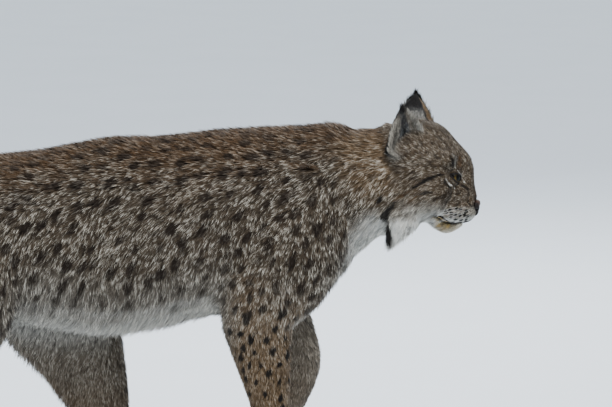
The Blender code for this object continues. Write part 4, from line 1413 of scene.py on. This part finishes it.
def tube(name, middle, away, across, high, wide, closed=False):
    # A tube along middle, high along away and wide along across, with ends unless it is closed
    around, count = 8, len(middle)
    rings = []
    for k in range(around):
        spin = 2 * math.pi * k / around
        rings.append(middle + away * (math.cos(spin) * high)[:, None]
                     + across * (math.sin(spin) * wide)[:, None])
    faces = []
    for i in range(count if closed else count - 1):
        j = (i + 1) % count
        for k in range(around):
            m = (k + 1) % around
            faces.append((i * around + k, i * around + m, j * around + m, j * around + k))
    if not closed:
        faces.append(tuple(range(around))[::-1])
        faces.append(tuple((count - 1) * around + k for k in range(around)))
    mesh = bpy.data.meshes.new(name)
    mesh.from_pydata(np.stack(rings, 1).reshape(-1, 3).tolist(), [], faces)
    mesh.update()
    piece = newPiece(name, mesh)
    turnOutwards(piece)
    return piece


def buildLidRims():
    finish, shader = newMaterial("lidRim", Roughness=0.55, Specular_IOR_Level=0.25)
    grain = grainOf(900.0)
    feed(shader, "Base Color", tinted(*irisPlan["lidRim"], grain))
    feed(shader, "Normal", bumped(grain, 0.0002))
    for seat, name in zip(eyeSeats, ("left", "right")):
        turns = np.linspace(0, 2, 73)[:-1]
        edge = seat.opening(turns)
        depth = np.sqrt(np.maximum(1 - (edge ** 2).sum(1), 0.05))
        directions = unit(np.stack([depth, edge[:, 0], edge[:, 1]], 1))
        middle = seat.world(directions, np.full(len(edge), eyePlan["rimLift"]))
        away = unit(middle - seat.centre)
        ahead = unit(np.roll(middle, -1, axis=0) - np.roll(middle, 1, axis=0))
        across = np.cross(ahead, away)
        corner = 1 + 0.9 * np.exp(-(np.minimum(turns, 2 - turns) / 0.10) ** 2)
        thick = eyePlan["rimWidth"] * corner
        rim = tube("lid_rim_" + name, middle, away, across, thick, thick * 1.5, closed=True)
        rim.data.materials.append(finish)
        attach(rim, "root")


# Nose leather
nosePlan = {
    "voxel": 0.0007, "scale": (1.0, 0.96, 0.98), "back": 0.0012, "below": 0.62,
    "nostril": (0.0365, 0.0085, -0.0545), "hollow": (0.0055, 0.0034, 0.0026), "nostrilDeep": 0.0038,
    "groove": 0.0010, "grooveHalf": 0.0010, "colours": ((0.052, 0.023, 0.011), (0.030, 0.014, 0.008)),
    "dark": (0.010, 0.007, 0.006),
}


def buildNose():
    nose = copyOfNodes(["nose"], "nose_leather")
    applyModifier(nose, 'REMESH', mode='VOXEL', voxel_size=nosePlan["voxel"])
    applyModifier(nose, 'SMOOTH', factor=0.5, iterations=10)
    points = pointsOf(nose.data)
    normals = vertexNormals(points, trianglesOf(nose.data))
    face = toFace(points)
    middle = (face.min(0) + face.max(0)) / 2
    face = middle + (face - middle) * nosePlan["scale"]
    face[:, 1] *= mixed(1.0, nosePlan["below"], smoothStep(-0.046, -0.061, face[:, 2]))
    points = fromFace(face - [nosePlan["back"], 0, 0])
    away = np.linalg.norm((halfFace(face) - nosePlan["nostril"]) / nosePlan["hollow"], axis=1)
    points -= normals * (nosePlan["nostrilDeep"] * np.exp(-away ** 2 * 1.2))[:, None]
    groove = np.exp(-(face[:, 1] / nosePlan["grooveHalf"]) ** 2) * smoothStep(-0.050, -0.056, face[:, 2])
    points -= normals * (nosePlan["groove"] * groove)[:, None]
    setPoints(nose.data, points)
    finish, shader = newMaterial("noseLeather", Roughness=0.50, Specular_IOR_Level=0.30)
    place = Wire.node('ShaderNodeTexCoord', None, output="Object")
    pebbles = Wire.node('ShaderNodeTexVoronoi', None, output=0, Vector=place, Scale=1300.0)
    dark = attribute("nostril", "Fac")
    tone = tinted(*nosePlan["colours"], pebbles)
    feed(shader, "Base Color", tinted(tone, nosePlan["dark"], dark))
    feed(shader, "Normal", bumped(pebbles, 0.0003))
    wings = smoothStep(0.0075, 0.0105, abs(face[:, 1]))
    rim = np.maximum(smoothStep(-0.0440, -0.0560, face[:, 2]), wings) * 0.9
    shade = np.clip(np.exp(-away ** 2 * 0.6) * 1.6 + rim + groove * 0.6, 0, 1)
    layer = nose.data.attributes.new("nostril", 'FLOAT', 'POINT')
    layer.data.foreach_set("value", shade.astype(np.float32))
    nose.data.materials.append(finish)
    alone(nose)
    bpy.ops.object.shade_smooth()
    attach(nose, "root")
    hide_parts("nose")


# Whiskers: rows on the pads and a few over the eyes
whiskerPlan = {
    "thickness": 0.00016, "narrowing": 0.85, "steps": 9, "short": 0.035, "extra": 0.030,
    "luck": (0.85, 1.1), "browLength": 0.030, "browLonger": 0.004,
    "colours": ((0.72, 0.70, 0.66), (0.86, 0.85, 0.82)),
    "rows": [((0.020, 0.030, -0.046), (-0.004, 0.040, -0.043), 3),
             ((0.024, 0.029, -0.051), (-0.004, 0.042, -0.048), 4),
             ((0.024, 0.028, -0.056), (0.000, 0.040, -0.054), 4),
             ((0.020, 0.027, -0.061), (0.002, 0.036, -0.060), 2)],
    "brow": ((0.006, 0.034, 0.018), 4),
}


def buildWhiskers(pelt):
    dice = np.random.default_rng(7)
    tree = BVHTree.FromPolygons(pelt.points.tolist(), pelt.triangles.tolist())
    rings, faces = [], []

    def addHair(start, heading, droop, long):
        spots = []
        for i in range(whiskerPlan["steps"]):
            t = i / (whiskerPlan["steps"] - 1)
            spots.append(start + heading * long * t + droop * long * t * t)
        spots = np.array(spots)
        base = sum(len(ring) for ring in rings)
        for i, spot in enumerate(spots):
            t = i / (len(spots) - 1)
            ahead = unit(spots[min(i + 1, len(spots) - 1)] - spots[max(i - 1, 0)])
            across = unit(np.cross(ahead, [0.1, 0.2, 1.0]))
            third = np.cross(ahead, across)
            thick = whiskerPlan["thickness"] * (1.0 - whiskerPlan["narrowing"] * t)
            rings.append(np.array([spot + (across * math.cos(a) + third * math.sin(a)) * thick
                                   for a in (0, 2.094, 4.189)]))
            if i:
                a, b = base + 3 * (i - 1), base + 3 * i
                for k in range(3):
                    m = (k + 1) % 3
                    faces.append((a + k, a + m, b + m, b + k))
        faces.append((base + 2, base + 1, base))
        end = base + 3 * (len(spots) - 1)
        faces.append((end, end + 1, end + 2))

    for side in (1, -1):
        for near, far, count in whiskerPlan["rows"]:
            for i in range(count):
                t = i / (count - 1)
                place = np.array(near) * (1 - t) + np.array(far) * t
                place[1] *= side
                hit = tree.find_nearest(fromFace(place))[0]
                start = np.array(hit)
                heading = turnFromFace(unit(np.array([-0.25 - 0.6 * t + dice.normal(0, 0.06), side * 0.9,
                                                      0.05 + dice.normal(0, 0.10)])))
                droop = turnFromFace(np.array([-0.42, -0.30 * side, -0.20 + dice.normal(0, 0.08)]))
                long = whiskerPlan["short"] + whiskerPlan["extra"] * math.sin(math.pi * (0.25 + 0.6 * t))
                addHair(start, heading, droop, long * dice.uniform(*whiskerPlan["luck"]))
        place, count = whiskerPlan["brow"]
        for i in range(count):
            spot = np.array(place) + [0.003 * i - 0.004, 0, 0.001 * i]
            spot[1] *= side
            start = np.array(tree.find_nearest(fromFace(spot))[0])
            heading = turnFromFace(unit(np.array([0.15 - 0.25 * i, side * 0.55, 0.8])))
            long = whiskerPlan["browLength"] + whiskerPlan["browLonger"] * i
            addHair(start, heading, turnFromFace([-0.35, -0.1 * side, 0.0]), long)
    mesh = bpy.data.meshes.new("whiskers")
    mesh.from_pydata(np.concatenate(rings).tolist(), [], faces)
    whiskers = newPiece("whiskers", mesh)
    turnOutwards(whiskers)
    finish, shader = newMaterial("whiskerHair", Roughness=0.35, Specular_IOR_Level=0.4)
    grain = grainOf(60.0)
    feed(shader, "Base Color", tinted(*whiskerPlan["colours"], grain))
    whiskers.data.materials.append(finish)
    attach(whiskers, "root")


# The lips' edge: half its width in front and at the corners, how far it stands out, and its steps
lipPlan = {
    "thin": 0.0014, "thick": 0.0030, "flat": 0.75, "out": 0.0008, "steps": 61, "evening": 3,
    "colours": ((0.004, 0.003, 0.003), (0.012, 0.008, 0.006)),
}


def evened(rows):
    # Each row but the first and the last, averaged with its neighbours
    return np.concatenate([rows[:1], (rows[:-2] + 2 * rows[1:-1] + rows[2:]) / 4, rows[-1:]])


def buildLips(pelt):
    # A dark edge along the mouth, thickest towards its corners
    corners = np.array(mouthLine)
    whole = np.concatenate([corners[::-1] * [1, -1, 1], corners[1:]])
    spans = np.linspace(0, len(whole) - 1, lipPlan["steps"])
    low = np.minimum(spans.astype(int), len(whole) - 2)
    line = whole[low] + (whole[low + 1] - whole[low]) * (spans - low)[:, None]
    for _ in range(lipPlan["evening"]):
        line = evened(line)
    tree = BVHTree.FromPolygons(pelt.points.tolist(), pelt.triangles.tolist())
    found = [tree.find_nearest(place) for place in fromFace(line).tolist()]
    middle = np.array([hit[0] for hit in found])
    away = np.array([hit[1] for hit in found])
    for _ in range(lipPlan["evening"]):
        middle = evened(middle)
        away = unit(evened(away))
    ahead = unit(np.gradient(middle, axis=0))
    across = unit(np.cross(ahead, away))
    side = abs(np.linspace(-1, 1, len(line)))
    thick = mixed(lipPlan["thin"], lipPlan["thick"], smoothStep(0.25, 0.8, side)) * np.sqrt(
        np.clip((1 - side) / 0.08, 0.02, 1))
    lips = tube("lips", middle + away * lipPlan["out"], away, across, thick * lipPlan["flat"], thick)
    finish, shader = newMaterial("lipSkin", Roughness=0.60, Specular_IOR_Level=0.15)
    grain = grainOf(700.0, 3.0)
    feed(shader, "Base Color", tinted(*lipPlan["colours"], grain))
    feed(shader, "Normal", bumped(grain, 0.0003))
    lips.data.materials.append(finish)
    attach(lips, "root")


def dressSkin(pelt):
    marks = markings(pelt.points, pelt.normals, pelt.shares)
    storeMarks(pelt.skin.data, marks, np.full(len(pelt.points), 0.40), np.full(len(pelt.points), 0.5))
    pelt.skin.data.materials.append(coatMaterial("skinUnderCoat", True))
    alone(pelt.skin)
    bpy.ops.object.shade_smooth()
    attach(pelt.skin, "root")
    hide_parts(*regionOf)


def growCoat(pelt):
    coat = growCoatValues(pelt)
    pieces = coatRegions(pelt)
    maps = unwrapRegions(pelt, list(pieces.values()))
    print("skin laid flat for the coat's maps")
    finish = coatMaterial("winterCoat", False)
    for i, (name, faces) in enumerate(pieces.items()):
        piece = sproutTufts(name, pelt, np.flatnonzero(faces), coat, maps, 100 + i)
        piece.data.materials.append(finish)
        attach(piece, "root")
    pelt.skin.data.uv_layers.remove(pelt.skin.data.uv_layers["coatMap"])


bpy.context.scene.view_settings.look = "AgX - Medium High Contrast"
placeCamera()
placeLights()
layFloor()
pelt = buildSkin()
pelt.lay = layOfCoat(pelt)
spots = Spots(pelt, pelt.lay)
growCoat(pelt)
dressSkin(pelt)
buildEyes()
buildLidRims()
buildNose()
buildLips(pelt)
buildWhiskers(pelt)
print("coat, eyes, nose and whiskers done")

bpy.context.view_layer.update()
